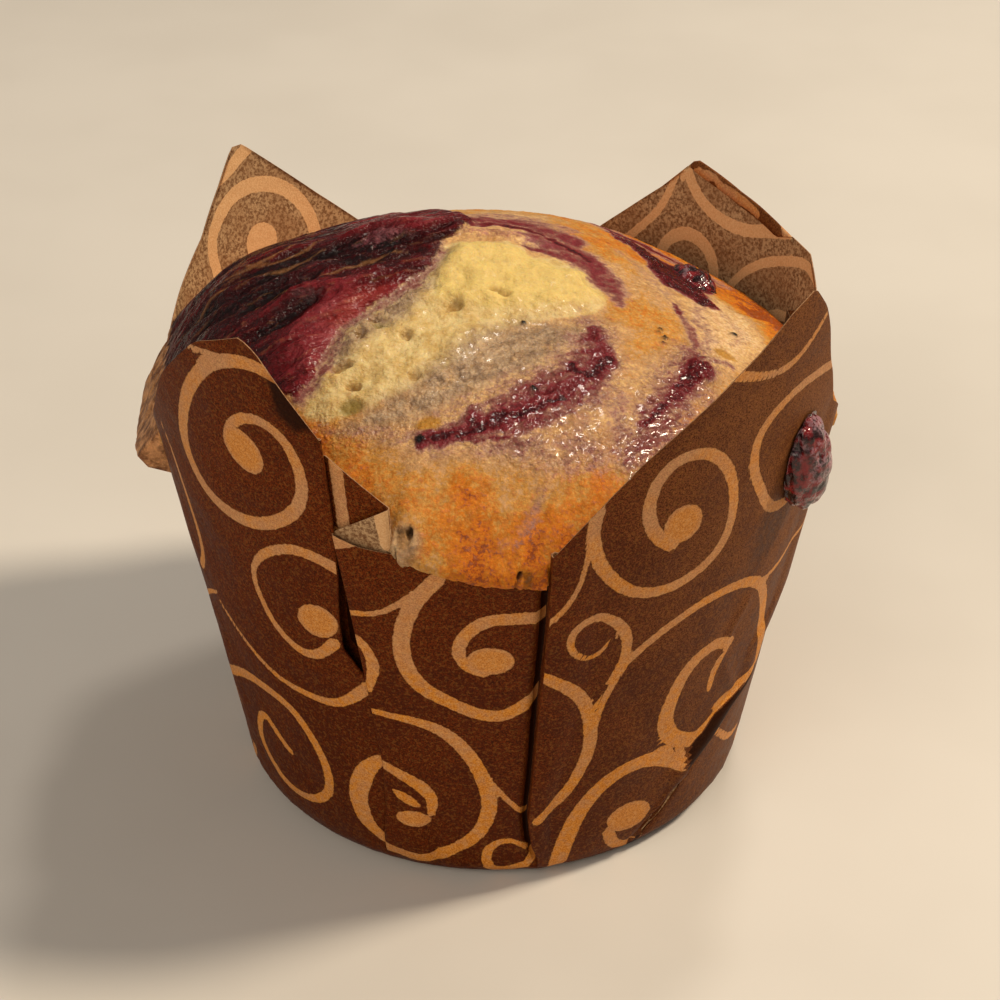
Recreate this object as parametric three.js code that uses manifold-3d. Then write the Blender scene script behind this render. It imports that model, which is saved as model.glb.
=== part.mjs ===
// A berry-swirl muffin, baked in a tulip wrap folded from one square sheet of paper.
// Millimetres, +Z up. The origin is the middle of the wrap's flat base, and -Y is the front.
// Azimuths are in degrees about +Z: 0 is +X (right), -90 is the front and 180 is the left.
import * as THREE from "three";
import Module from "manifold-3d";
import { mergeVertices } from "three/addons/utils/BufferGeometryUtils.js";

// ---- driving dimensions ----
const BASE_R = 29; // radius of the wrap's wall, carried down to the table
const BASE_ROUND = 3.2; // rounding between the base and the wall
const TAPER = Math.tan(THREE.MathUtils.degToRad(9.5)); // how fast the wall leans outwards
const PAPER = 0.6; // thickness of the folded wrap
const FOLD_LIFT = 0.55; // how far a panel stands proud of the one it laps over
const GAP = 0.35; // clearance between touching pieces
const CLEARED = 0.25; // the least of it, cut where the cake's lip comes closer to the paper
const HEIGHT = 74; // of the tallest flap
const WALL_ROWS = 8;
const ROUND_STEPS = 3;
const DEGREES_PER_COLUMN = 4.5;

// ---- small helpers ----
const clamp01 = (t) => Math.min(1, Math.max(0, t));
const mix = (a, b, t) => a + (b - a) * t;
const smooth = (t) => clamp01(t) ** 2 * (3 - 2 * clamp01(t));
const wallRadius = (z) => BASE_R + z * TAPER;
const wrapDegrees = (a) => ((((a + 180) % 360) + 360) % 360) - 180;

// The value at x of a line through points [x, value], in rising x.
function along(points, x) {
  for (let i = 1; i < points.length; i++) {
    const [x0, v0] = points[i - 1];
    const [x1, v1] = points[i];
    if (x <= x1) return mix(v0, v1, clamp01((x - x0) / (x1 - x0)));
  }
  return points.at(-1)[1];
}

// ---- the wrap ----
// Eight panels, anticlockwise from the front one. Each ends at the next panel's start.
// foot and head: the azimuth of its first fold at the base and at the rim.
// lift: how many layers of paper it lies on. edge: [azimuth, height] along its top.
const PANELS = [
  { foot: -108, head: -113.8, lift: 0, edge: [[-113.8, 49], [-105.7, 47.4], [-99.6, 45], [-91, 44], [-81, 43.4]] },
  { foot: -82.5, head: -81, lift: 1, edge: [[-81, 48], [-42, 74], [-15, 50]] },
  { foot: -54, head: -15, lift: 0, edge: [[-15, 46], [2, 44.2], [14, 45.5]] },
  { foot: 10, head: 14, lift: 1, edge: [[14, 52], [22, 55], [34, 56.5], [51.5, 59.8], [79, 45]] },
  { foot: 72, head: 79, lift: 0, edge: [[79, 43], [94, 41.5], [109, 43]] },
  { foot: 104, head: 109, lift: 1, edge: [[109, 46], [137.5, 63.2], [168, 48]] },
  { foot: 164, head: 168, lift: 0, edge: [[168, 44], [182, 39.5], [199, 42]] },
  { foot: 209, head: 199, lift: 1, edge: [[199, 50], [212, 59], [227, 71], [235, 71.8], [246.2, 63.6]] },
];

// The wall of one panel as columns of [azimuth, height, radius] rows, from base to top edge.
function panelColumns(panel, next) {
  const footEnd = next.foot + (next.foot < panel.foot ? 360 : 0);
  const headEnd = next.head + (next.head < panel.head ? 360 : 0);
  const count = Math.ceil((headEnd - panel.head) / DEGREES_PER_COLUMN);
  const columns = [];
  for (let i = 0; i <= count; i++) {
    const t = mix(0.012, 0.988, i / count);
    const head = mix(panel.head, headEnd, t);
    const foot = mix(panel.foot, footEnd, t);
    const top = along(panel.edge, head);
    const column = [];
    for (let row = 0; row <= WALL_ROWS; row++) {
      const share = row / WALL_ROWS;
      const height = mix(BASE_ROUND, top, share);
      const azimuth = mix(foot, head, share);
      const lift = panel.lift * FOLD_LIFT * smooth(share * 6);
      column.push({ azimuth, height, radius: wallRadius(height) + lift });
    }
    columns.push(column);
  }
  return columns;
}

const polar = (azimuth, radius, z) => {
  const a = THREE.MathUtils.degToRad(azimuth);
  return [radius * Math.cos(a), radius * Math.sin(a), z];
};

// A closed skin from a ring of columns, each the same count of points, whose ends meet the axis.
function closedSkin(columns, bottom, top) {
  const rows = columns[0].length;
  const positions = [...columns.flat(2), ...bottom, ...top];
  const south = columns.length * rows;
  const at = (c, r) => (c % columns.length) * rows + r;
  const faces = [];
  for (let c = 0; c < columns.length; c++) {
    faces.push(south, at(c + 1, 0), at(c, 0));
    for (let r = 0; r + 1 < rows; r++) {
      faces.push(at(c, r), at(c + 1, r), at(c + 1, r + 1));
      faces.push(at(c, r), at(c + 1, r + 1), at(c, r + 1));
    }
    faces.push(south + 1, at(c, rows - 1), at(c + 1, rows - 1));
  }
  const geometry = new THREE.BufferGeometry();
  geometry.setAttribute("position", new THREE.Float32BufferAttribute(positions, 3));
  geometry.setIndex(faces);
  return geometry;
}

// The whole wrap; grow makes its paper thicker on every side.
function wrapGeometry(grow = 0) {
  const columns = PANELS.flatMap((panel, i) =>
    panelColumns(panel, PANELS[(i + 1) % PANELS.length]),
  );
  const skin = columns.map((column) => {
    const foot = column[0].azimuth;
    const outside = [];
    const inside = [];
    for (let i = 0; i < ROUND_STEPS; i++) {
      const turn = (i / ROUND_STEPS) * (Math.PI / 2);
      const middle = wallRadius(BASE_ROUND) - BASE_ROUND;
      const reach = (radius) => polar(foot, middle + radius * Math.sin(turn), BASE_ROUND - radius * Math.cos(turn));
      outside.push(reach(BASE_ROUND + grow));
      inside.push(reach(BASE_ROUND - PAPER - grow));
    }
    for (const { azimuth, height, radius } of column) {
      const top = height === column.at(-1).height ? grow : 0;
      outside.push(polar(azimuth, radius + grow, height + top));
      inside.push(polar(azimuth, radius - PAPER - grow, height + top));
    }
    return [...outside, ...inside.reverse()];
  });
  return closedSkin(skin, [0, 0, -grow], [0, 0, PAPER + grow]);
}

// ---- the cake ----
const INSIDE_WALL = PAPER + GAP; // the cake's skin lies this far inside the wall's outer face
const FILL_MIDDLE = 47.4; // the cake climbs the paper up to here
const FILL_SLANT = 2.4; // and this much higher at the side where it rose most
const FILL_TURN = -128; // azimuth of that side
const LIP_RISE = 1.2; // where it runs over a low edge, its widest line is this far above the edge
const LIP_REACH = 1.1; // and this far outside the wall
const LEFT_LIP_REACH = 1.2; // extra reach of the lip on the left side
const LIP_START = 0.62; // the overrun begins this far out from the crown to the rim
const DOME_ROUNDNESS = 0.72; // 0.5 for an ellipse and 1 for a parabola
const DOME_BASE = 61.3; // height of the crown without the relief
const CROWN = { x: -8, y: 4 };
const CAKE_COLUMNS = 108;
const LIP_CLEAR = 3.8; // a lip ends this many degrees before a flap, a little over a column
const LIP_BLEND = 2.8; // and swells to its full reach in so many more
const DOME_ROWS = 17;
const SIDE_ROWS = 4;

// The panel at an azimuth, and that azimuth turned into the panel's own range.
function panelAt(azimuth) {
  const turned = azimuth < PANELS[0].head ? azimuth + 360 : azimuth;
  const i = PANELS.findLastIndex((p) => p.head <= turned);
  const end = i + 1 < PANELS.length ? PANELS[i + 1].head : PANELS[0].head + 360;
  return { panel: PANELS[i], turned, end };
}

function paperEdge(azimuth) {
  const { panel, turned } = panelAt(azimuth);
  return along(panel.edge, turned);
}

// The highest paper edge within a column of an azimuth.
const guardEdge = (azimuth) =>
  Math.max(...[-LIP_CLEAR, 0, LIP_CLEAR].map((d) => paperEdge(wrapDegrees(azimuth + d))));

const fillHeight = (azimuth) =>
  FILL_MIDDLE + FILL_SLANT * Math.cos(THREE.MathUtils.degToRad(azimuth - FILL_TURN));

// How far the cake has run over the paper at an azimuth: 0 behind a flap, 1 in a low place.
function overflow(azimuth) {
  const { panel, turned, end } = panelAt(azimuth);
  const fromFlap = panel.lift ? 0 : Math.min(turned - panel.head, end - turned);
  return smooth((fromFlap - LIP_CLEAR) / LIP_BLEND);
}

// Relief of the dome, in millimetres: where it lies, how far it spreads along and across, its
// turn in degrees and its height.
const SWELLINGS = [
  { x: -3, y: 5, along: 17, across: 9, turn: 12, high: 2.4 },
  { x: -27, y: 4, along: 8, across: 10, turn: 0, high: 2.6 },
  { x: 24, y: 12, along: 10, across: 12, turn: 0, high: -1.8 },
];

function relief(x, y) {
  let high = 0;
  for (const s of SWELLINGS) {
    const turn = THREE.MathUtils.degToRad(s.turn);
    const u = (x - s.x) * Math.cos(turn) + (y - s.y) * Math.sin(turn);
    const v = (y - s.y) * Math.cos(turn) - (x - s.x) * Math.sin(turn);
    high += s.high * Math.exp(-((u / s.along) ** 2) - (v / s.across) ** 2);
  }
  return high;
}

// A point of the dome: out is 1 at the rim and 0 at the crown. Where the cake has run over the
// paper, its edge hangs out and down.
function domePoint(azimuth, out) {
  const fill = fillHeight(azimuth);
  const lip = overflow(azimuth) * smooth((out - LIP_START) / (1 - LIP_START));
  const left = LEFT_LIP_REACH * smooth(1.6 - Math.abs(wrapDegrees(azimuth - 182)) / 15);
  const radius = (wallRadius(fill) - INSIDE_WALL) * out + lip * (INSIDE_WALL + LIP_REACH + left);
  const [x, y] = polar(azimuth, radius, 0);
  const shift = (1 - out) ** 2;
  const px = x + CROWN.x * shift;
  const py = y + CROWN.y * shift;
  const rise = (1 - out * out) ** DOME_ROUNDNESS;
  const drop = lip * (fill - guardEdge(azimuth) - LIP_RISE);
  return [px, py, mix(fill, DOME_BASE, rise) - drop + relief(px, py) * smooth(rise * 2)];
}

function cakeGeometry() {
  const columns = [];
  for (let c = 0; c < CAKE_COLUMNS; c++) {
    const azimuth = wrapDegrees((c / CAKE_COLUMNS) * 360);
    const [rimX, rimY, rimZ] = domePoint(azimuth, 1);
    const neck = overflow(azimuth) > 0 ? guardEdge(azimuth) + GAP : rimZ - 1.5;
    const inside = (z) => polar(azimuth, wallRadius(z) - INSIDE_WALL, z);
    const column = [polar(azimuth, wallRadius(BASE_ROUND) - BASE_ROUND, PAPER + GAP)];
    for (let r = 0; r <= SIDE_ROWS; r++) column.push(inside(mix(BASE_ROUND, neck, r / SIDE_ROWS)));
    const underLip = mix(wallRadius(neck) - INSIDE_WALL, Math.hypot(rimX, rimY), 0.8);
    column.push(polar(azimuth, underLip, mix(neck, rimZ, 0.3)));
    for (let r = 0; r < DOME_ROWS; r++) column.push(domePoint(azimuth, Math.cos((r / DOME_ROWS) * (Math.PI / 2))));
    columns.push(column);
  }
  return closedSkin(columns, [0, 0, PAPER + GAP], domePoint(0, 0));
}

// ---- the berries ----
// Each is an oval lump with a beaded skin: its middle, its half axes, its lean and then its turn.
const BERRIES = [
  { name: "berry_side", azimuth: -33, z: 50, out: 0.9, half: [3.1, 3.2, 6.3], lean: 9 },
  { name: "berry_rim", azimuth: 31.5, z: 52.6, out: -12.2, half: [2.8, 3.9, 2.8], lean: 0 },
];
const BEAD_HEIGHT = 0.11; // of a berry's half axes
const BEADS_ROUND = 5.4;

function berryGeometry({ half, azimuth, z, out, lean }, grow = 0) {
  const ball = new THREE.IcosahedronGeometry(1, 4);
  ball.deleteAttribute("normal");
  ball.deleteAttribute("uv");
  const geometry = mergeVertices(ball, 1e-4);
  const position = geometry.getAttribute("position");
  for (let i = 0; i < position.count; i++) {
    const unit = [position.getX(i), position.getY(i), position.getZ(i)];
    const beads = unit.reduce((product, value, axis) => product * Math.sin(value * BEADS_ROUND + axis + 1), 1);
    position.setXYZ(i, ...unit.map((value, axis) => value * (half[axis] * (1 + BEAD_HEIGHT * beads) + grow)));
  }
  return geometry
    .rotateX(THREE.MathUtils.degToRad(lean))
    .rotateZ(THREE.MathUtils.degToRad(azimuth))
    .translate(...polar(azimuth, wallRadius(z) + out, z));
}

// All the space within the wrap's wall, with the clearance round it.
function wallCone() {
  const outside = (z) => new THREE.Vector2(wallRadius(z) + FOLD_LIFT + GAP, z);
  const profile = [new THREE.Vector2(0, 0), outside(0), outside(HEIGHT), new THREE.Vector2(0, HEIGHT)];
  const cone = new THREE.LatheGeometry(profile, 120);
  cone.deleteAttribute("normal");
  cone.deleteAttribute("uv");
  return cone.rotateX(Math.PI / 2);
}

// ---- putting it together ----
const wasm = await Module();
wasm.setup();

function solid(geometry) {
  const merged = mergeVertices(geometry, 1e-4);
  return new wasm.Manifold(
    new wasm.Mesh({
      numProp: 3,
      vertProperties: merged.getAttribute("position").array,
      triVerts: new Uint32Array(merged.index.array),
    }),
  );
}

function geometryOf(manifold) {
  const { numProp, vertProperties, triVerts } = manifold.getMesh();
  const geometry = new THREE.BufferGeometry();
  const interleaved = new THREE.InterleavedBuffer(vertProperties, numProp);
  geometry.setAttribute("position", new THREE.InterleavedBufferAttribute(interleaved, 3, 0));
  geometry.setIndex(new THREE.BufferAttribute(triVerts, 1));
  return geometry.toNonIndexed();
}

const finishes = {
  cake: { color: 0xc98f3c, roughness: 0.6, metalness: 0 },
  paper: { color: 0x4a2c17, roughness: 0.75, metalness: 0, side: THREE.DoubleSide },
  berry: { color: 0x3a0a1c, roughness: 0.3, metalness: 0 },
};

const muffin = new THREE.Group();

function addMesh(name, geometry, finish) {
  const mesh = new THREE.Mesh(geometry, new THREE.MeshStandardMaterial(finishes[finish]));
  mesh.name = name;
  muffin.add(mesh);
}

addMesh("paper_wrap", wrapGeometry(), "paper");

// A berry outside the wrap lies against its wall, and a berry inside sinks into the cake.
const wall = solid(wallCone());
let cake = solid(cakeGeometry()).subtract(solid(wrapGeometry(CLEARED)));
for (const berry of BERRIES) {
  const lump = solid(berryGeometry(berry));
  addMesh(berry.name, berry.out > 0 ? geometryOf(lump.subtract(wall)) : geometryOf(lump), "berry");
  cake = cake.subtract(solid(berryGeometry(berry, GAP)));
}
cake = cake.decompose().reduce((a, b) => (a.volume() > b.volume() ? a : b));
addMesh("cake", geometryOf(cake), "cake");

export default muffin;
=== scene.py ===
"""A berry-swirl muffin in a tulip wrap of printed paper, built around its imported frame."""

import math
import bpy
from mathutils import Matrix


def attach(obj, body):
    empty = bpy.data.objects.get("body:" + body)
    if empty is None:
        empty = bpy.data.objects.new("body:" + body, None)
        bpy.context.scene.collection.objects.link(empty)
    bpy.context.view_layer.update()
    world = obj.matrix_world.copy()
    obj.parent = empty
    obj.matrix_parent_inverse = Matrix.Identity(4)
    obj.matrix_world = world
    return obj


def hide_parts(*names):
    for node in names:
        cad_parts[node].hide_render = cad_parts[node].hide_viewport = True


bl_info = {
    "name": "Tulip wrap muffin",
    "version": (1, 0, 0),
    "blender": (4, 5, 0),
    "location": "View3D > Sidebar > Muffin",
    "description": "Models a berry-swirl muffin in its folded, printed tulip wrap",
    "category": "Add Mesh",
}

import bpy
import numpy as np

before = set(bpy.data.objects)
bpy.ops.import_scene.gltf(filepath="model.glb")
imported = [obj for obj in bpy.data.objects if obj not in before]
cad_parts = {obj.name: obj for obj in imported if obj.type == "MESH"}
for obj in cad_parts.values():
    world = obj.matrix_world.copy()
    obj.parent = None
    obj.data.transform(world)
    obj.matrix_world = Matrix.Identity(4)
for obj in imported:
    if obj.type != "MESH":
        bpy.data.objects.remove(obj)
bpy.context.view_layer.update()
MM = 0.001


# ---- numbers on whole surfaces ----
def smooth(t):
    """A soft step from 0 at t = 0 to 1 at t = 1."""
    t = np.clip(t, 0.0, 1.0)
    return t * t * (3 - 2 * t)


def mix(a, b, t):
    """The value at a share t of the way from a to b."""
    return a + (b - a) * t


def along(points, x):
    """The value at x of a line through points (x, value), in rising x."""
    return np.interp(x, [p[0] for p in points], [p[1] for p in points])


def turned(azimuth):
    """An azimuth in degrees, brought between -180 and 180."""
    return (azimuth + 180.0) % 360.0 - 180.0


HASH_FACTORS = (374761393, 668265263, 974634777)  # large odd numbers that spread neighbours apart
HASH_STIR = 1274126177
LOW_BITS = 0xFFFFFFFF


def hashed(ix, iy, seed):
    """A fixed random number from 0 to 1 for each pair of whole numbers."""
    by_x, by_y, by_seed = HASH_FACTORS
    n = (ix.astype(np.int64) * by_x + iy.astype(np.int64) * by_y + seed * by_seed) & LOW_BITS
    n = ((n ^ (n >> 13)) * HASH_STIR) & LOW_BITS
    return (n ^ (n >> 16)) / LOW_BITS


def grain(x, y, size, seed):
    """Gradient noise from about -1 to 1, with lumps of the given size."""
    u, v = x / size, y / size
    iu, iv = np.floor(u), np.floor(v)
    fu, fv = u - iu, v - iv
    corners = []
    for du in (0, 1):
        for dv in (0, 1):
            angle = 2 * math.pi * hashed(iu + du, iv + dv, seed)
            corners.append((fu - du) * np.cos(angle) + (fv - dv) * np.sin(angle))
    su = fu * fu * fu * (fu * (fu * 6 - 15) + 10)
    sv = fv * fv * fv * (fv * (fv * 6 - 15) + 10)
    left, right = mix(corners[0], corners[1], sv), mix(corners[2], corners[3], sv)
    return mix(left, right, su) * 1.5  # which brings its range close to -1 to 1


def cloud(x, y, size, seed, octaves=3, gain=0.5):
    """Several sizes of grain laid over each other, from about -1 to 1."""
    total, whole = 0.0, 0.0
    for octave in range(octaves):
        total = total + grain(x, y, size / 2**octave, seed + 31 * octave) * gain**octave
        whole += gain**octave
    return total / whole


def streaks(x, y, angle, length, width, seed, octaves=3):
    """Noise drawn out along an angle in degrees."""
    a = math.radians(angle)
    u = x * math.cos(a) + y * math.sin(a)
    v = y * math.cos(a) - x * math.sin(a)
    return cloud(u * width / length, v, width, seed, octaves)


def curve_through(points, steps=7):
    """A smooth curve through points of any number of values each."""
    p = np.array(points, float)
    ends = np.vstack([2 * p[0] - p[1], p, 2 * p[-1] - p[-2]])
    out = []
    for i in range(len(p) - 1):
        a, b, c, d = ends[i : i + 4]
        square, cube = 2 * a - 5 * b + 4 * c - d, 3 * b - a - 3 * c + d
        for t in np.arange(steps) / steps:
            out.append(0.5 * (2 * b + (c - a) * t + square * t**2 + cube * t**3))
    return np.array(out + [p[-1]])


def rounded(line, passes=5):
    """A line with its small corners taken off."""
    line = np.array(line, float)
    for _ in range(passes):
        line[1:-1] = 0.25 * line[:-2] + 0.5 * line[1:-1] + 0.25 * line[2:]
    return line


def to_line(x, y, line):
    """For each point: its distance to a line, which side it is on, and its share of the way along."""
    line = np.asarray(line, float)
    lengths = np.hypot(*np.diff(line[:, :2], axis=0).T)
    total = max(lengths.sum(), 1e-9)
    best = np.full(x.shape, 1e9)
    side, share = np.ones(x.shape), np.zeros(x.shape)
    start = 0.0
    for (x0, y0), (x1, y1), length in zip(line[:-1, :2], line[1:, :2], lengths):
        dx, dy = x1 - x0, y1 - y0
        t = np.clip(((x - x0) * dx + (y - y0) * dy) / max(length**2, 1e-12), 0, 1)
        distance = np.hypot(x - x0 - t * dx, y - y0 - t * dy)
        nearer = distance < best
        best = np.where(nearer, distance, best)
        side = np.where(nearer, np.sign((x - x0) * dy - (y - y0) * dx), side)
        share = np.where(nearer, (start + t * length) / total, share)
        start += length
    return best, side, share


def inside(x, y, outline):
    """The distance inside a closed outline, and minus the distance outside it."""
    ring = np.array(list(outline) + [outline[0]], float)
    distance = to_line(x, y, ring)[0]
    odd = np.zeros(x.shape, bool)
    for (x0, y0), (x1, y1) in zip(ring[:-1], ring[1:]):
        crosses = (y0 > y) != (y1 > y)
        odd ^= crosses & (x < (x1 - x0) * (y - y0) / (y1 - y0 if y1 != y0 else 1e-12) + x0)
    return np.where(odd, distance, -distance)


# ---- meshes ----
def only(piece):
    """Selects one piece and nothing else."""
    bpy.ops.object.select_all(action="DESELECT")
    piece.select_set(True)
    bpy.context.view_layer.objects.active = piece


def start_piece(name, add, **settings):
    """Adds a primitive with nothing else selected."""
    bpy.ops.object.select_all(action="DESELECT")
    add(location=(0, 0, 0), **settings)
    piece = bpy.context.object
    piece.name = piece.data.name = name
    return piece


def points_of(piece):
    """The places of all vertices, one row each."""
    co = np.zeros(len(piece.data.vertices) * 3)
    piece.data.vertices.foreach_get("co", co)
    return co.reshape(-1, 3)


def move_points(piece, x, y, z):
    """Sets every vertex, from millimetres."""
    co = np.stack([x, y, z], axis=-1) * MM
    piece.data.vertices.foreach_set("co", co.ravel())
    piece.data.update()


def write_value(piece, name, values):
    """Stores one number for each vertex under a name that materials can read."""
    layer = piece.data.attributes.new(name, "FLOAT", "POINT")
    layer.data.foreach_set("value", np.asarray(values, np.float32))


def edit(piece, *steps):
    """Runs edit-mode operators on the whole piece."""
    only(piece)
    bpy.ops.object.mode_set(mode="EDIT")
    bpy.ops.mesh.select_mode(type="VERT")
    bpy.ops.mesh.select_all(action="SELECT")
    for step in steps:
        step()
    bpy.ops.object.mode_set(mode="OBJECT")


def apply_modifier(piece, kind, **settings):
    """Adds a modifier with the given settings and applies it."""
    only(piece)
    modifier = piece.modifiers.new(kind.title(), kind)
    for key, value in settings.items():
        setattr(modifier, key, value)
    bpy.ops.object.modifier_apply(modifier=modifier.name)


def hand_over(piece, node):
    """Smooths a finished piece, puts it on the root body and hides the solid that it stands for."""
    only(piece)
    bpy.ops.object.shade_smooth()
    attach(piece, "root")
    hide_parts(node)


# ---- the wrap's form ----
# Seams between the panels, anticlockwise from the one left of the front panel. Each is a line of
# (height, azimuth) along its visible fold. upper says which side lies on top.
SEAMS = [
    {"upper": "both",
     "line": [(0, -113.6), (5.4, -112.9), (11, -111.5), (16.8, -110.9), (31, -112.3), (50, -114.4)]},
    {"upper": "right", "line": [(0, -78.5), (6, -82), (10, -82.8), (21, -82), (32, -81.4), (40, -80.9)]},
    {"upper": "left",
     "line": [(0, -59), (3, -55.5), (8.5, -48), (11.5, -47), (17, -37), (19, -28.5), (24, -27), (28, -17),
              (34, -15)]},
    {"upper": "right", "line": [(0, 10), (50, 14)]},
    {"upper": "left", "line": [(0, 72), (45, 79)]},
    {"upper": "right", "line": [(0, 104), (46, 109)]},
    {"upper": "left", "line": [(0, 164), (48, 168)]},
    {"upper": "right", "line": [(0, 217), (1.3, 215), (4, 210.5), (8.5, 208.5), (50, 199)]},
]
# The gap in degrees by which the front left flap stands off the first seam, by height.
SEAM_GAP = [(30, 0), (30.8, 1.2), (33.5, 3.7), (36.5, 3.3), (40, 2.4), (44, 1.2), (50, 0.1)]
# Panels, each ending at the next seam. rim: (azimuth, height) along its cut edge. left and right:
# how far its sides stand off the wall; a panel with neither lies under its neighbours. spread: the
# share of its width over which they do. groove: how deep it sinks next to a flap, and over which
# share of its width.
PANELS = [
    {"name": "front", "left": 0.75, "right": 0.0, "spread": 0.4, "groove": (1.2, 0.06),
     "rim": [(-114.4, 49.7), (-110.5, 48.9), (-105.2, 48.5), (-102.6, 47.9), (-99.6, 46.9), (-91, 45.7),
             (-80.9, 44.9)]},
    {"name": "front_right", "left": 1.15, "right": 0.85, "spread": 0.16,
     "rim": [(-80.9, 49.2), (-77.5, 52.2), (-73.9, 54.6), (-68.3, 58.9), (-59.7, 64), (-50.5, 68.9),
             (-45.8, 72), (-41.7, 73.6), (-37.6, 70.3), (-33.9, 66.1), (-29.9, 61), (-20.8, 52.7),
             (-15, 50)]},
    {"name": "right", "left": 0.0, "right": 0.0, "spread": 0.2, "groove": (0.5, 0.05),
     "rim": [(-15, 46), (2, 44.4), (14, 45.5)]},
    {"name": "back_right", "left": 0.55, "right": 0.55, "spread": 0.2,
     "rim": [(14, 50.5), (16.9, 52.6), (21.1, 55.5), (27, 55.8), (41.4, 57.4), (52, 59.4), (58.3, 54.9),
             (65.7, 50.6), (71.3, 47.5), (79, 44.5)]},
    {"name": "back", "left": 0.0, "right": 0.0, "spread": 0.2, "groove": (0.5, 0.05),
     "rim": [(79, 43.5), (94, 42), (109, 43.5)]},
    {"name": "back_left", "left": 0.55, "right": 0.55, "spread": 0.2,
     "rim": [(109, 46), (115.6, 49.8), (123, 54.2), (130.4, 58.9), (136.9, 63), (139.2, 63.1),
             (143.7, 59.5), (150.4, 55), (168, 48)]},
    {"name": "left", "left": 0.0, "right": 0.0, "spread": 0.2, "groove": (0.9, 0.06),
     "rim": [(168, 44), (182, 41), (199, 43)]},
    {"name": "front_left", "left": 0.6, "right": 0.5, "spread": 0.2,
     "rim": [(199, 50), (205, 54.3), (213, 60.6), (224.3, 67.8), (226.2, 68.8), (235, 71.6), (237.3, 70.4),
             (241.2, 66), (245.6, 61.6)]},
]
WALL_ROWS = 88
TAPER = math.tan(math.radians(9.5))  # of the wall, outwards and upwards
COS_TAPER = math.cos(math.radians(9.5))
FLOOR_ROUND = 3.2  # rounding between the base and the wall
FOOT = 7  # height up to which lifted sides and folds come down to the wall
FLAP_OUT = 0.5  # how far the middle of a raised panel stands off the wall
# Folds at the seams, in millimetres.
LAYER = 0.06  # how far a middle layer of a fold stands off the lowest one
FOLD_WIDTH = 6.0  # width of a hidden fold at the rim
FOLD_CLEAR = 0.3  # how far from the seam a hidden layer begins
BEND_CLEAR = 0.12  # how far from the seam a flap bends down
BEND_LOW, BEND_HIGH = 0.35, 0.8  # shares of a flap's lift between which it bends
BEND_COLUMNS = 2
LAYER_COLUMNS = 3
# The fold at the first seam stands open and shows two layers of the sheet.
OPEN_LAYER_COLUMNS = 11
OPEN_BEND = [(0, -103.5), (30, -106), (54, -105.4)]  # (height, azimuth) of the bend between them
OPEN_TOPS = {"hidden": 60, "shown": 59.2, "bend": 54, "front": 49.9, "panel": 49.8}  # of their edge
OPEN_UP_TO = 48  # height from which the front layer lies flat
BACK_DEPTH = [(0, -0.2), (14, -1.5), (45, -1.5), (50.5, -0.3)]  # of the back layer, by height
# Columns are counted at one height, and stand further apart on panels that show less print.
COUNT_AT = 45.0
FINE_PANELS = (0, 1, 5, 7)
COARSER = 1.25
TURNED_EDGE = {"panel": "back_right", "from": 27, "to": 54, "soft": (5, 3), "width": 1.5}


def seam_azimuth(index, z):
    """Azimuth of a seam, in the range of the panel that ends at it."""
    line = SEAMS[index % len(SEAMS)]["line"]
    return along(line, z) + (360 if index == len(SEAMS) else 0)


def panel_lift(panel, u, z):
    """How far a panel stands off the wall, by its share of the way across."""
    left = panel["left"] * smooth(1.25 - u / panel["spread"])
    right = panel["right"] * smooth(1.25 - (1 - u) / panel["spread"])
    middle = FLAP_OUT if panel["left"] and panel["right"] else 0.0
    deep, wide = panel.get("groove", (0.0, 0.05))
    groove = deep * smooth(1 - (1 - u) / wide)
    if not panel["left"]:
        groove = groove + 0.6 * deep * smooth(1 - u / wide)
    return (np.maximum(np.maximum(left, right), middle) - groove) * smooth(z / FOOT)


def panel_azimuth(index, u, z):
    """Azimuth on a panel at a share u of the way across."""
    right = seam_azimuth(index + 1, z)
    if index + 1 == len(PANELS):
        right = right - along(SEAM_GAP, z)
    return mix(seam_azimuth(index, z), right, u)


class Sheet:
    """Columns of the folded sheet, in order round the wrap."""

    def __init__(self, wall):
        self.wall = wall
        self.share = np.linspace(0, 1, WALL_ROWS)
        self.columns = []

    def add(self, panel, top, azimuth, lift, turned_over=0.0):
        """A column up to the height top: where it stands, its lift and the panel that it shows."""
        z = mix(FLOOR_ROUND, top, self.share)
        self.columns.append((azimuth(z), z, lift(z) * np.ones_like(z), panel, turned_over))

    def hide(self, tops, start, shift, lifts, count):
        """A hidden layer of a fold. At the rim it is shifted sideways from the start by millimetres,
        and less towards the foot. tops, shift and lifts are for its first and last column."""
        for i in range(count):
            t = i / max(count - 1, 1)
            move, top = mix(*shift, t), mix(*tops, t)

            def lift(z, t=t):
                return mix(*(value(z) if callable(value) else value for value in lifts), t) * smooth(z / FOOT)

            def place(z, move=move):
                near = smooth((z - FLOOR_ROUND) / 12) * move
                return start(z) + np.degrees(near / self.wall(z))

            self.add("hidden", top, place, lift)


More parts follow.
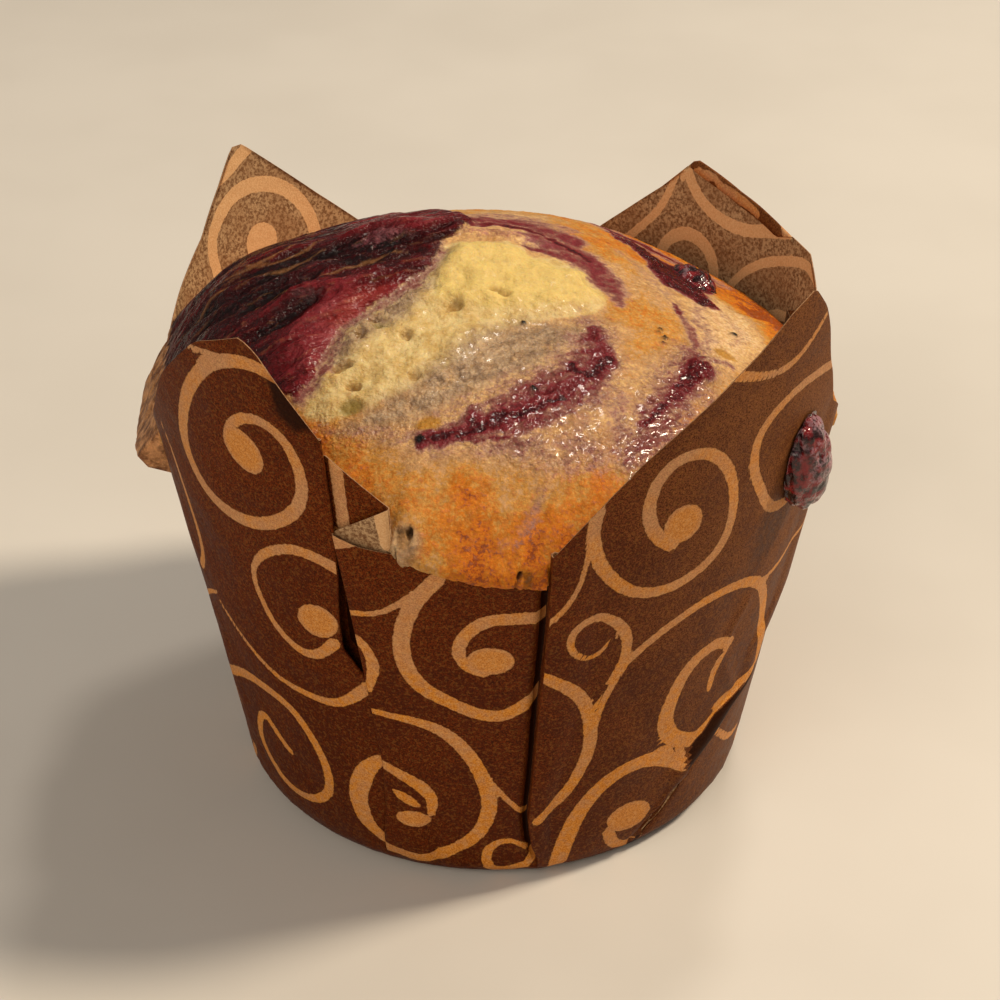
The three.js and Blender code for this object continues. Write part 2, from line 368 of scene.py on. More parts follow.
def fold_columns(sheet, index):
    """The folds at one seam, from the panel on its left to the one on its right."""
    upper = SEAMS[index]["upper"]
    before, after = PANELS[index - 1], PANELS[index]
    left_top, right_top = before["rim"][-1][1], after["rim"][0][1]
    deep = (left_top + right_top) / 2
    from_left = (BEND_HIGH * before["right"], BEND_LOW * before["right"])
    to_right = (BEND_LOW * after["left"], BEND_HIGH * after["left"])

    def seam(z):
        return seam_azimuth(index, z)

    if upper == "right":
        sheet.hide((left_top, deep), seam, (FOLD_CLEAR, FOLD_WIDTH), (0.0, 0.0), LAYER_COLUMNS)
        sheet.hide((deep, right_top), seam, (FOLD_WIDTH, FOLD_CLEAR), (LAYER, LAYER), LAYER_COLUMNS)
        sheet.hide((right_top, right_top), seam, (-BEND_CLEAR, -BEND_CLEAR), to_right, BEND_COLUMNS)
    elif upper == "left":
        sheet.hide((left_top, left_top), seam, (BEND_CLEAR, BEND_CLEAR), from_left, BEND_COLUMNS)
        sheet.hide((left_top, deep), seam, (-FOLD_CLEAR, -FOLD_WIDTH), (LAYER, LAYER), LAYER_COLUMNS)
        sheet.hide((deep, right_top), seam, (-FOLD_WIDTH, -FOLD_CLEAR), (0.0, 0.0), LAYER_COLUMNS)
    else:
        open_fold(sheet, seam, left_top, from_left, to_right)


def open_fold(sheet, seam, left_top, from_left, to_right):
    """The fold that stands open: behind the left flap the sheet shows its inner side, then turns
    back at a bend and runs under the front panel."""

    def flap(z):
        return seam(z) - along(SEAM_GAP, z)

    def bend(z):
        return mix(seam(z), along(OPEN_BEND, z), smooth((z - FLOOR_ROUND) / 12))

    def back(z):
        return along(BACK_DEPTH, z)

    tops = OPEN_TOPS
    to_hidden, from_hidden = (left_top, tops["hidden"]), (tops["hidden"], tops["shown"])
    sheet.hide((left_top, left_top), flap, (0.1, 0.1), from_left, BEND_COLUMNS)
    sheet.hide(to_hidden, flap, (-FOLD_CLEAR, -FOLD_WIDTH), (LAYER, LAYER), LAYER_COLUMNS)
    sheet.hide(from_hidden, flap, (-FOLD_WIDTH, -FOLD_CLEAR), (back, back), LAYER_COLUMNS)
    shares = [i / (OPEN_LAYER_COLUMNS - 1) for i in range(OPEN_LAYER_COLUMNS)]
    for t in shares:
        top = mix(tops["shown"], tops["bend"], t)
        sheet.add("behind", top, lambda z, t=t: mix(flap(z), bend(z), t), back)
    for t in shares:

        def lift(z, t=t):
            return mix(LAYER, back(z) * 0.8, (1 - t) * (z < OPEN_UP_TO))

        top = mix(tops["bend"], tops["front"], t)
        sheet.add("turned", top, lambda z, t=t: mix(bend(z), seam(z), t), lift)
    sheet.hide((tops["panel"],) * 2, seam, (-BEND_CLEAR, -BEND_CLEAR), to_right, BEND_COLUMNS)


def turned_edge(panel, azimuth):
    """How far the panel's cut edge is turned over, in millimetres."""
    edge = TURNED_EDGE
    if panel["name"] != edge["panel"]:
        return 0.0
    start, end = edge["soft"]
    here = smooth((azimuth - edge["from"]) / start) * smooth((edge["to"] - azimuth) / end)
    return edge["width"] * float(here)


def sheet_columns(wall, spacing):
    """All columns of the sheet: each panel after the folds at its left."""
    sheet = Sheet(wall)
    for index, panel in enumerate(PANELS):
        fold_columns(sheet, index)
        left_at, right_at = seam_azimuth(index, COUNT_AT), seam_azimuth(index + 1, COUNT_AT)
        if index + 1 == len(PANELS):
            right_at = right_at - SEAM_GAP[-1][1]
        across = math.radians(right_at - left_at) * wall(COUNT_AT)
        count = int(across / (spacing * (1.0 if index in FINE_PANELS else COARSER)))
        for i in range(count + 1):
            u = i / count
            rim_azimuth = mix(panel["rim"][0][0], panel["rim"][-1][0], u)
            sheet.add(
                panel["name"],
                float(along(panel["rim"], rim_azimuth)),
                lambda z, u=u, index=index: panel_azimuth(index, u, z),
                lambda z, u=u, panel=panel: panel_lift(panel, u, z),
                turned_edge(panel, rim_azimuth),
            )
    return sheet.columns


# ---- the print ----
# Scrolls on the sheet, by panel: each line runs through points (azimuth, height) and has the
# widths of its start, middle and end in millimetres.
SCROLLS = {
    "front_left": [
        ([(-131.5, 58.5), (-129.5, 60.5), (-125, 62), (-120.5, 60.5), (-118.5, 56), (-120.5, 51.5),
          (-127, 48), (-134.5, 46.8), (-142, 48), (-145, 52), (-143, 57), (-138.5, 62), (-132, 66.8),
          (-125, 68.9), (-119, 68)], (1.2, 1.75, 1.6)),
        ([(-117.5, 34), (-121.5, 31.4), (-126, 31), (-131, 33.5), (-133.6, 38.5), (-131.5, 41.8),
          (-127, 44.5), (-121, 46), (-114.5, 45)], (1.4, 0.75, 1.7)),
        ([(-156, 17.5), (-145.5, 20.6), (-136, 21.3), (-130, 20), (-126, 16), (-124.7, 12.5), (-126, 9),
          (-130.5, 6.7), (-137, 6), (-143, 8), (-145.8, 11), (-144.2, 14.5), (-141.5, 16), (-138.5, 14.3),
          (-135.3, 12.7)], (1.4, 1.25, 1.0)),
        ([(-110.6, 18), (-112.2, 17.6), (-115.3, 15.3), (-117.8, 11.4), (-117.7, 8.5), (-116.4, 6.6),
          (-114.2, 5.3), (-112, 4.4)], (1.4, 2.4, 2.3, 1.5)),
        ([(-155.6, 51.8), (-153, 48.8), (-151.5, 43), (-150.5, 39), (-151, 36), (-154, 33)],
         (0.5, 0.8, 1.1)),
        ([(-149.5, 31), (-157, 28), (-165.5, 22)], (0.5, 0.8, 1.2)),
        ([(-148.5, 29.8), (-142, 27.3), (-134, 24.9), (-127, 24.4), (-119, 24.8), (-112, 28.8)],
         (0.6, 0.85, 1.5)),
        ([(-136, 67.6), (-133, 67.9), (-130, 68.2)], (0.8, 0.8, 0.9)),
    ],
    "front": [
        ([(-114.4, 4.3), (-113.4, 3.6), (-110.4, 3), (-105.7, 2.6), (-101.9, 3.2), (-100, 4.2), (-97, 5.2),
          (-94, 6.8), (-91.2, 9.8), (-90.6, 13.5), (-93.3, 19), (-98, 23), (-104, 25), (-111.8, 25.6)],
         (1.5, 1.6, 1.75, 1.7, 0.75)),
        ([(-111.2, 17.6), (-105.8, 15.9), (-102.7, 14), (-101.9, 12.4), (-102.3, 10.4)], (1.2, 1.7, 0.9)),
        ([(-98.5, 45.6), (-102, 42.5), (-104.5, 38.5), (-105, 34.5), (-103, 30.8), (-98.5, 28.4),
          (-92, 26.4), (-87, 26.4), (-81, 29.4)], (1.8, 1.8, 1.6)),
        ([(-80.5, 40.2), (-86, 40.4), (-91, 40), (-94.5, 37.8), (-95.6, 35.3), (-94, 33.3), (-91.5, 32.5)],
         (1.7, 1.6, 1.2)),
        ([(-113.3, 39.5), (-109.9, 39.9), (-106.5, 41), (-103, 43)], (0.8, 0.7, 0.8)),
        ([(-112.6, 36), (-110.9, 34.2), (-110.4, 32), (-111.8, 28.8)], (1.1, 1.5, 0.8)),
        ([(-90.6, 16.4), (-89.4, 15.2), (-86.4, 12.6), (-83.4, 10.8), (-81, 10.2)], (0.6, 0.7, 0.8)),
        ([(-82.8, 5), (-85, 6.1), (-88, 6.3), (-90.6, 5.2), (-91.3, 3.2), (-90.2, 1.6), (-86.5, 1.4),
          (-83, 2.4), (-80.4, 4.4)], (0.6, 1.1, 1.3, 1.2)),
        ([(-115.5, 49), (-111, 50.2), (-107, 51.5)], (2.6, 2.4, 1.2)),
    ],
    "front_right": [
        ([(-82, 32.8), (-77.5, 30.7), (-73.5, 27.5), (-71.6, 22), (-73, 17.3), (-76, 13.7), (-81, 10.4)],
         (1.4, 1.6, 1.3)),
        ([(-61.2, 47.3), (-64.5, 49.4), (-66.3, 53), (-65.3, 56.6), (-61.7, 58.8), (-56.5, 58),
          (-52.2, 54.6), (-50, 50.2), (-50.2, 45.6), (-53.5, 42.6), (-60, 41.2), (-67, 42.2), (-72.5, 46),
          (-75, 51), (-74.4, 54.5)], (1.6, 1.3, 1.6)),
        ([(-75.5, 49.5), (-76.4, 45.2), (-78.5, 42.2), (-81, 40.2)], (0.6, 0.6, 0.8)),
        ([(-70.2, 35.6), (-71.8, 34.2), (-74.4, 34.2), (-77, 36), (-77, 38.3), (-74.5, 39.6), (-71, 39.3),
          (-67.5, 36.8), (-66.6, 33.5), (-68.4, 29.5), (-70.2, 26.6), (-70.8, 24)], (0.5, 1.35, 0.7)),
        ([(-69, 30), (-64.3, 33.3), (-57, 36.1), (-50, 37.2), (-42, 36.5), (-35, 33.8), (-30.5, 28.5),
          (-28.2, 22.5), (-28.6, 19.8), (-35, 19), (-41, 18.5)], (1.0, 1.3, 1.7, 1.5)),
        ([(-37, 34.5), (-28.5, 34.3), (-22, 35.4), (-14, 35.6)], (0.8, 0.7, 0.5)),
        ([(-41.6, 28), (-47, 29.3), (-52.2, 28), (-55, 24), (-55.6, 20.5), (-52.5, 17.2), (-46.4, 15.2),
          (-42, 16.6), (-37, 17.2)], (1.5, 1.9, 2.1, 2.3, 1.7)),
        ([(-42.6, 27.4), (-44.6, 25.4), (-45, 22.4)], (0.7, 1.1, 0.9)),
        ([(-76, 1.5), (-74.8, 5.6), (-72.8, 9.6), (-69.5, 12.9), (-64, 15.4), (-57, 15.3), (-48.5, 12.4)],
         (2.2, 2.0, 2.2)),
        ([(-65, 5.6), (-62.6, 2.6), (-57, 1.4), (-52, 1.8), (-48.6, 4.2), (-47, 8)], (1.5, 1.4, 1.1)),
        ([(-57.5, 68), (-50.2, 65.8), (-44.7, 65.2), (-40.6, 66.5), (-37.3, 69.3)], (1.5, 1.0, 0.7)),
        ([(-29, 60.5), (-36.5, 61.4), (-42.5, 60.7), (-47, 57.6), (-46.8, 53.5), (-44, 50), (-40, 46.2),
          (-34.7, 44.8), (-31.5, 45.6)], (1.3, 1.3, 1.45)),
    ],
    "right": [([(-37, 12.9), (-27.5, 8.2), (-21, 7.3)], (1.0, 1.0, 0.9))],
    "left": [([(-151.3, 8.5), (-149.6, 4.9), (-145, 1.2)], (0.6, 0.6, 0.6))],
    "back_left": [
        ([(135.5, 62.6), (139, 61.5), (142, 60.4), (145, 59.6)], (1.7, 1.6, 0.8)),
        ([(146.8, 46), (148.2, 50), (148.2, 53.6), (145.5, 56), (140.5, 57.9), (134, 57.7), (128.5, 55.5),
          (125.2, 51.8), (124.8, 47.5), (128, 43)], (1.5, 1.9, 1.4)),
        ([(163, 51.8), (163.9, 49.8), (163, 46)], (0.7, 0.8, 0.7)),
    ],
    "back_right": [
        ([(54.5, 60), (56.5, 55), (59, 51.4), (64.5, 47.4), (70, 43)], (0.8, 1.0, 1.1)),
        ([(54.5, 59), (51.5, 55.7), (46.5, 53.6), (40, 53.3), (34.6, 54.5), (28, 56.2)], (1.3, 1.6, 1.5)),
        ([(57.3, 45.8), (56.2, 48.4), (52.5, 50.2), (48, 49.8), (45, 47.6), (44.2, 44.5)], (1.2, 1.8, 1.3)),
        ([(42.5, 43.5), (39.5, 47.2), (34.5, 50.4), (28, 52.7), (21.4, 54.2), (17, 53.2)], (0.9, 1.2, 1.3)),
        ([(31, 44.6), (27.1, 46.2), (22, 47)], (1.0, 1.3, 1.2)),
        ([(53, 60.3), (50.5, 60.4), (48, 59.3)], (0.7, 1.0, 0.8)),
        ([(47, 59.6), (44, 58.9), (41, 58.2), (37, 57.9)], (0.9, 1.1, 0.9)),
    ],
    "behind": [([(-113.0, 60), (-113.1, 55), (-113.1, 50)], (1.5, 1.45, 1.4))],
    "turned": [([(-106.6, 54), (-105.6, 49.5)], (1.5, 1.7))],
}
# Round ends of scrolls: azimuth and height of the middle, half axes and turn.
KNOBS = {
    "front_left": [(-129, 57, 2.5, 2.85, 30), (-120.3, 36.5, 2.75, 2.15, 35)],
    "front": [(-90.2, 34.3, 2.5, 2.0, 0), (-106, 9.4, 1.9, 1.35, 0), (-107, 12.7, 1.9, 0.72, -38)],
    "front_right": [(-59.7, 49.8, 2.2, 2.7, 20), (-60.4, 7, 2.9, 2.3, -20)],
    "back_left": [(136.4, 51, 2.4, 2.3, 0)],
}
# Where the pattern comes round again: the panel that it repeats, how many degrees further on, and
# the height up to which it does.
REPEATS = {
    "right": ("front", 98.5, 60), "back_right": ("front_right", 95.5, 44), "back": ("front", 193.5, 60),
    "back_left": ("front_left", 264.5, 46.5), "left": ("front", 282, 60),
}
PRINT_NAMES = ("print_across", "print_half", "print_near", "print_knob")
FAR = 9.0  # a distance at which nothing shows
THIN = 0.3  # half the width of a line where there is none


def scrolls_of(panel):
    """All lines and round ends on a panel."""
    lines, knobs = list(SCROLLS.get(panel, [])), list(KNOBS.get(panel, []))
    if panel in REPEATS:
        source, shift, top = REPEATS[panel]
        for line, widths in SCROLLS[source]:
            if max(z for _, z in line) < top:
                lines.append(([(az + shift, z) for az, z in line], widths))
        knobs += [(az + shift, z, *rest) for az, z, *rest in KNOBS[source] if z < top]
    return lines, knobs


def print_values(wall, panel, azimuth, z):
    """The print's shape at points of one panel: the distance across the nearest line and half that
    line's width, the distance from the nearest line's edge and that from the nearest round end."""
    middle = float(np.mean(azimuth)) if len(azimuth) else 0.0

    def flat(az, height):
        delta = az - middle
        return wall(height) * np.radians(delta - 360 * np.round(delta / 360)), height / COS_TAPER

    x, y = flat(azimuth, z)
    across, half, near, knob = (np.full(x.shape, v) for v in (FAR, THIN, FAR, FAR))
    lines, knobs = scrolls_of(panel)
    for points, widths in lines:
        line = curve_through(points)
        line = rounded(np.stack(flat(line[:, 0], line[:, 1]), axis=-1))
        distance, side, share = to_line(x, y, line)
        width = np.interp(share, np.linspace(0, 1, len(widths)), widths) / 2
        closer = distance - width < near
        near = np.where(closer, distance - width, near)
        across = np.where(closer, side * distance, across)
        half = np.where(closer, width, half)
    for az, height, long, short, turn in knobs:
        cx, cy = flat(np.array([az]), np.array([height]))
        a = math.radians(turn)
        u = (x - cx) * math.cos(a) + (y - cy) * math.sin(a)
        v = (y - cy) * math.cos(a) - (x - cx) * math.sin(a)
        knob = np.minimum(knob, (np.hypot(u / long, v / short) - 1) * min(long, short))
    return across, half, near, knob


# ---- the wrap ----
BASE_RINGS = (0.0, 9.0, 18.0, 24.0)
ROUND_ROWS = 4
# Rows at the cut edge. Where it is turned over: how far each lies inwards, and what shares of the
# turned width it lies down the inside and further along the flat sheet.
EDGE_ROWS = 4
EDGE_STEP = 0.02
EDGE_IN = np.array([0.12, 0.3, 0.42, 0.5])
EDGE_DOWN = np.array([-0.1, 0.0, 0.5, 1.0])
EDGE_ON = np.array([0.06, 0.2, 0.6, 1.0])
# Creases pressed into the wrap: a line of (azimuth, height), its height and its width.
CREASES = [
    {"line": [(-102.8, 9.5), (-102.2, 5), (-101.8, 2)], "high": -0.35, "wide": 0.5},
    {"line": [(-98.5, 9), (-97, 5.5), (-96, 3)], "high": -0.2, "wide": 0.4},
    {"line": [(-39.2, 33), (-42.6, 29), (-42.7, 25.7), (-37, 20)], "high": 0.28, "wide": 0.7},
    {"line": [(-46.5, 9.5), (-53, 5.5), (-58, 2)], "high": -0.55, "wide": 0.5},
    {"line": [(-66, 25), (-60, 21), (-57, 16)], "high": -0.18, "wide": 1.8},
    {"line": [(-128, 28), (-120, 29.5), (-113, 30.5)], "high": 0.2, "wide": 0.6},
    {"line": [(-83, 3), (-80, 1.5), (-75, 2.5)], "high": 0.35, "wide": 0.8},
]
# Buckling of the paper: height, size and seed.
WAVE = (0.22, 16, 5)
FOOT_WAVE = (0.16, 4.5, 9)
NOISE_ROUND = 60  # radius of the circle on which noise is read, so that it closes round the wrap
# The slit low on the third seam: the hollow behind it and the raised edge of the flap over it.
SLIT_SEAM = 2
SLIT_FROM, SLIT_TO = 8, 19
SLIT_DEPTH, SLIT_WIDTH = 1.7, 1.3
SLIT_EDGE = 0.5
# Its painted shade on each panel: degrees wide, and the heights where it starts and ends with their softness.
SLIT_PAINTED_SHADE = {"right": (4.5, 9.5, 3, 21, 4), "front_right": (5.0, 10.5, 4, 20, 3)}
# The dark grease stain at the edge of the front left flap.
STAIN_AZIMUTH, STAIN_HEIGHT = -118.3, 65.4
# The stain's dark also paints shade: in the open fold below a height, on the front panel next to its flap,
# and in the slit.
SHADE_BELOW = 46  # height up to which the open fold is in its own shade
GROOVE_SHADE = 1.5  # degrees of shade on the front panel next to the flap at its right
SHADED = 0.5  # distance from the stain that stands for shade


def foot_rows(wall):
    """Radii and heights from the middle of the base to the foot of the wall."""
    turn = np.linspace(0, math.pi / 2, ROUND_ROWS + 1)[:-1]
    middle = float(wall(FLOOR_ROUND)) - FLOOR_ROUND
    radii = np.concatenate([BASE_RINGS, middle + FLOOR_ROUND * np.sin(turn)])
    return radii, np.concatenate([np.zeros(len(BASE_RINGS)), FLOOR_ROUND * (1 - np.cos(turn))])


def edge_rows(radius, height, width):
    """Radii, heights and heights on the flat sheet at the cut edge, of which a width is turned over."""
    if width > 0.05:
        return radius - EDGE_IN, height - EDGE_DOWN * width, height + EDGE_ON * width
    steps = np.arange(1, EDGE_ROWS + 1) * EDGE_STEP
    return np.full(EDGE_ROWS, radius), height + steps, np.full(EDGE_ROWS, height)


def sheet_arrays(wall, columns):
    """Azimuths, heights, radii and heights on the flat sheet, each by column and row."""
    foot_radii, foot_heights = foot_rows(wall)
    made = []
    for azimuth, z, lift, _, turned_over in columns:
        radii = wall(z) + lift
        edge_radii, edge_heights, edge_flat = edge_rows(radii[-1], z[-1], turned_over)
        azimuths = (np.full(len(foot_radii), azimuth[0]), azimuth, np.full(EDGE_ROWS, azimuth[-1]))
        heights, flat = (foot_heights, z, edge_heights), (foot_heights, z, edge_flat)
        parts = (azimuths, heights, (foot_radii, radii, edge_radii), flat)
        made.append([np.concatenate(part) for part in parts])
    return np.array(made).transpose(1, 0, 2)


def crease_relief(wall, crease, azimuths, heights):
    """How far one crease pushes the paper out."""
    line, first = curve_through(crease["line"], 4), crease["line"][0][0]
    path = np.stack([np.radians(line[:, 0] - first) * wall(line[:, 1]), line[:, 1]], axis=-1)
    distance = to_line(np.radians(turned(azimuths - first)) * wall(heights), heights, path)[0]
    return crease["high"] * np.exp(-((distance / crease["wide"]) ** 2))


def paper_relief(wall, azimuths, heights, radii, panels):
    """How far the paper buckles out: waves, creases and the slit."""
    a = np.radians(azimuths)
    x, y = np.cos(a) * NOISE_ROUND, np.sin(a) * NOISE_ROUND
    high, size, seed = WAVE
    relief = high * cloud(x + heights, y - heights, size, seed, 2) * smooth(heights / 12)
    high, size, seed = FOOT_WAVE
    low = smooth(1.5 - heights / 7)
    relief += high * cloud(x, y + heights * 0.6, size, seed, 2) * low * smooth(heights / 2)
    for crease in CREASES:
        relief += crease_relief(wall, crease, azimuths, heights) * (panels != "hidden")
    relief = relief * (radii > 5)
    past_seam = turned(azimuths - along(SEAMS[SLIT_SEAM]["line"], heights))
    above = smooth((heights - SLIT_FROM) / 3)
    width = np.degrees(SLIT_WIDTH / np.maximum(radii, 1))
    hollow = smooth(1.2 - past_seam / width / 1.2) * (panels == "right") * above
    relief -= SLIT_DEPTH * hollow * smooth((SLIT_TO - heights) / 3)
    edge = smooth(1 + past_seam / 8) * (panels == "front_right") * above
    return relief + SLIT_EDGE * edge * smooth((SLIT_TO + 1 - heights) / 4)


def in_slit(azimuths, heights, panels):
    """Which points lie where the slit's shade is painted."""
    past_seam = turned(azimuths - along(SEAMS[SLIT_SEAM]["line"], heights))
    reach = {}
    for panel, (width, low, soft_low, high, soft_high) in SLIT_PAINTED_SHADE.items():
        reach[panel] = width * smooth((heights - low) / soft_low) * smooth((high - heights) / soft_high)
    behind = (panels == "right") & (past_seam < reach["right"])
    return behind | ((panels == "front_right") & (past_seam > -reach["front_right"]))


def stain_and_shade_values(azimuths, heights, radii, panels, slit):
    """Distances from the grease stain, and short distances where shade is painted with the stain's dark: in
    the open fold, in the groove by the flap and in the slit.
    """
    x, z = np.radians(turned(azimuths - STAIN_AZIMUTH)) * radii, heights - STAIN_HEIGHT
    from_stain = np.hypot(x * 1.1 + z * 0.35, z * 0.62)
    in_fold = ((panels == "behind") | (panels == "turned")) & (heights < SHADE_BELOW)
    from_flap = turned(azimuths - along(SEAMS[1]["line"], heights))
    groove = (panels == "front") & (from_flap > -GROOVE_SHADE)
    elsewhere = np.where(in_fold | groove | slit, SHADED, FAR)
    return np.where(panels == "front_left", from_stain, elsewhere)


def build_wrap(settings):
    """The folded, printed sheet."""
    base = settings.base_radius / MM

    def wall(z):
        return base + TAPER * np.asarray(z, float)

    columns = sheet_columns(wall, settings.mesh_spacing / MM)
    across, up = len(columns), len(BASE_RINGS) + ROUND_ROWS + WALL_ROWS + EDGE_ROWS - 1
    grid = bpy.ops.mesh.primitive_grid_add
    wrap = start_piece("wrap", grid, x_subdivisions=across, y_subdivisions=up, size=2)
    co = points_of(wrap)
    column = np.rint((co[:, 0] + 1) / 2 * across).astype(int) % across
    row = np.rint((co[:, 1] + 1) / 2 * up).astype(int)
    azimuths, heights, radii, flat = (values[column, row] for values in sheet_arrays(wall, columns))
    panels = np.array([panel for _, _, _, panel, _ in columns])[column]
    radii = radii + paper_relief(wall, azimuths, heights, radii, panels)
    a = np.radians(azimuths)
    move_points(wrap, np.cos(a) * radii, np.sin(a) * radii, heights)

    values = np.full((len(PRINT_NAMES), len(co)), FAR)
    for panel in set(panels) - {"hidden"}:
        here = panels == panel
        values[:, here] = print_values(wall, panel, azimuths[here], flat[here])
    slit = in_slit(azimuths, heights, panels)
    # No print where the slit's shade is painted.
    values[:, slit] = FAR
    for name, value in zip(PRINT_NAMES, values):
        write_value(wrap, name, value)
    # The real grease stain, with painted shade in the folds, the groove and the slit.
    write_value(wrap, "stain", stain_and_shade_values(azimuths, heights, radii, panels, slit))

    edit(wrap, lambda: bpy.ops.mesh.remove_doubles(threshold=1e-6))
    outside = printed_paper(tuple(settings.ink_colour), tuple(settings.bare_colour))
    for material in (outside, paper_inside(), paper_cut()):
        wrap.data.materials.append(material)
    slots = {"material_offset": 1, "material_offset_rim": 2}
    apply_modifier(wrap, "SOLIDIFY", thickness=settings.paper, offset=-1, **slots)
    co = points_of(wrap) / MM
    move_points(wrap, co[:, 0], co[:, 1], np.maximum(co[:, 2], 0))
    hand_over(wrap, "paper_wrap")


# ---- the cake's form ----
# The rim of the cake inside the wrap: its middle height, how far it slants and to which azimuth.
FILL_MIDDLE, FILL_SLANT, FILL_TURN = 47.4, 2.4, -128
CROWN_X, CROWN_Y = -8, 4
ROUNDNESS = 0.72  # of the dome: the smaller, the fuller
PAPER_GAP = 0.3  # how far the cake stops short of the wall
SWELLINGS = [  # x, y, along, across, turn, height
    (-3, 5, 17, 9, 12, 2.0),
    (-27, 4, 8, 10, 0, 2.6),
    (24, 12, 10, 12, 0, -1.8),
]
LIP_START = 0.66  # share of the way out from the crown at which the lip begins
LIP_RISE = 0.9  # how far the lip stands above the paper's edge
# Where the cake has run over the paper: from and to which azimuth and how softly at each end in
# degrees, how far its edge hangs below the paper's edge, how far out it reaches and which panel.
LIPS = [
    {"from": -105.5, "to": -76, "soft": (4, 12), "hang": 0.25, "reach": 1.1, "panel": 0},
    {"from": -12, "to": 12, "soft": (4, 4), "hang": 0.7, "reach": 1.3, "panel": 2},
    {"from": 82, "to": 106, "soft": (4, 4), "hang": 0.8, "reach": 1.3, "panel": 4},
    {"from": 170, "to": 196, "soft": (4, 4), "hang": 1.6, "reach": 2.4, "panel": 6},
]


def raised_panels():
    """The middle, start and end azimuth of each panel that stands up, with its rim."""
    for panel in PANELS:
        if panel["left"] and panel["right"]:
            start, end = panel["rim"][0][0], panel["rim"][-1][0]
            yield (start + end) / 2, start, end, panel["rim"]


def paper_lift(azimuth):
    """How far out the paper's inner face is from the wall, by azimuth."""
    out = np.zeros_like(azimuth)
    for middle, start, end, _ in raised_panels():
        out = np.maximum(out, smooth(((end - start) / 2 - np.abs(turned(azimuth - middle))) / 3 + 0.5))
    return out * FLAP_OUT


def paper_hold(azimuth, z, base):
    """The largest radius that the raised panels leave to the cake."""
    room = np.full(azimuth.shape, np.inf)
    for middle, start, end, rim in raised_panels():
        at = middle + turned(azimuth - middle)
        free = smooth((z - along(rim, at)) / 1.6 + 0.1)
        limit = base + TAPER * z + PAPER_GAP + 3 * free
        room = np.where((at > start - 0.6) & (at < end + 0.6), np.minimum(room, limit), room)
    return room


def overrun(azimuth):
    """For each azimuth: how much of a lip there is, its hang and reach, and the height of the edge
    that it hangs over."""
    share, hang, reach, edge = (np.zeros_like(azimuth) for _ in range(4))
    for lip in LIPS:
        middle = (lip["from"] + lip["to"]) / 2
        at = middle + turned(azimuth - middle)
        start, end = lip["soft"]
        here = smooth((at - lip["from"]) / start + 0.5) * smooth((lip["to"] - at) / end + 0.5)
        share, hang, reach = share + here, hang + here * lip["hang"], reach + here * lip["reach"]
        edge = edge + here * along(PANELS[lip["panel"]]["rim"], at)
    return share, hang, reach, np.where(share > 0.01, edge / np.maximum(share, 0.01), 45.0)


def swelling(x, y):
    """How far the dome's broad swellings rise at points in plan."""
    high = 0
    for middle_x, middle_y, long, wide, turn, height in SWELLINGS:
        t = math.radians(turn)
        u = (x - middle_x) * math.cos(t) + (y - middle_y) * math.sin(t)
        v = (y - middle_y) * math.cos(t) - (x - middle_x) * math.sin(t)
        high = high + height * np.exp(-((u / long) ** 2) - (v / wide) ** 2)
    return high


def dome(azimuth, out, base, crown):
    """The cake's top without its relief: out is 0 at the crown and 1 at the rim. crown is its height."""
    a = np.radians(azimuth)
    fill = FILL_MIDDLE + FILL_SLANT * np.cos(np.radians(azimuth - FILL_TURN))
    share, _, reach, edge = overrun(azimuth)
    lip = share * smooth((out - LIP_START) / (1 - LIP_START))
    inner = base + TAPER * fill - PAPER_GAP + paper_lift(azimuth)
    radius = inner * out + lip * (PAPER_GAP + reach)
    shift = (1 - out) ** 2
    x = radius * np.cos(a) + CROWN_X * shift
    y = radius * np.sin(a) + CROWN_Y * shift
    rise = np.clip(1 - out * out, 0, 1) ** ROUNDNESS
    z = mix(fill, crown, rise) - lip * (fill - edge - LIP_RISE) * smooth((out - 0.7) / 0.3)
    z = z + swelling(x, y) * smooth(rise * 2)
    held = np.minimum(1, paper_hold(azimuth, z, base) / np.maximum(np.hypot(x, y), 1e-6))
    return x * held, y * held, z


# ---- the cake's top, in plan: x to the right and y to the back, in millimetres ----
# Outlines of the torn crumb and the jam, and the lines of what lies on them.
CRUMB = [
    (-5.4, 1.2), (-3.5, 2.3), (-1.3, 2.6), (1.4, 3.1), (3.2, 2.5), (4.4, 1), (6.6, 1.7), (9.6, 0.9),
    (11.4, -1.6), (12.5, -4.2), (11.4, -6.6), (8.7, -8.6), (5.2, -10), (2.1, -11), (0, -12.8), (-1.6, -15),
    (-4, -17.6), (-9.5, -21.5), (-17, -23.8), (-19.6, -21.5), (-18.6, -17.5), (-17.2, -14), (-15.6, -10.6),
    (-12.9, -8.5), (-9.8, -5.9), (-6.7, -1.6),
]
CRUMB_BRIGHT = [
    (-4.6, 0.4), (-1, 1.8), (3, 1.6), (5, 0), (10, -0.4), (12, -4.4), (7, -7.8), (0, -8.8), (-6, -8),
    (-5.6, -3),
]
GREY_EDGE = [(-6, 0), (-8.5, -5), (-10.5, -8), (-13.5, -11), (-16, -15.5)]
GREY_BAND = [(9.5, -10.8), (5, -12.8), (0.4, -15.6), (-3.6, -19), (-8, -22.2), (-12.5, -23.8)]
JAM = [
    (-38.5, 4), (-35, 12), (-25, 17), (-14, 18), (-6, 15), (-3.4, 11), (-2.4, 7.4), (-4, 4), (-5.4, 1.4),
    (-6.8, -1.6), (-9.8, -5.4), (-12.8, -8), (-15.5, -10), (-17.2, -13.6), (-18.3, -17), (-20, -19.5),
    (-24, -17), (-30, -10), (-38, -3),
]
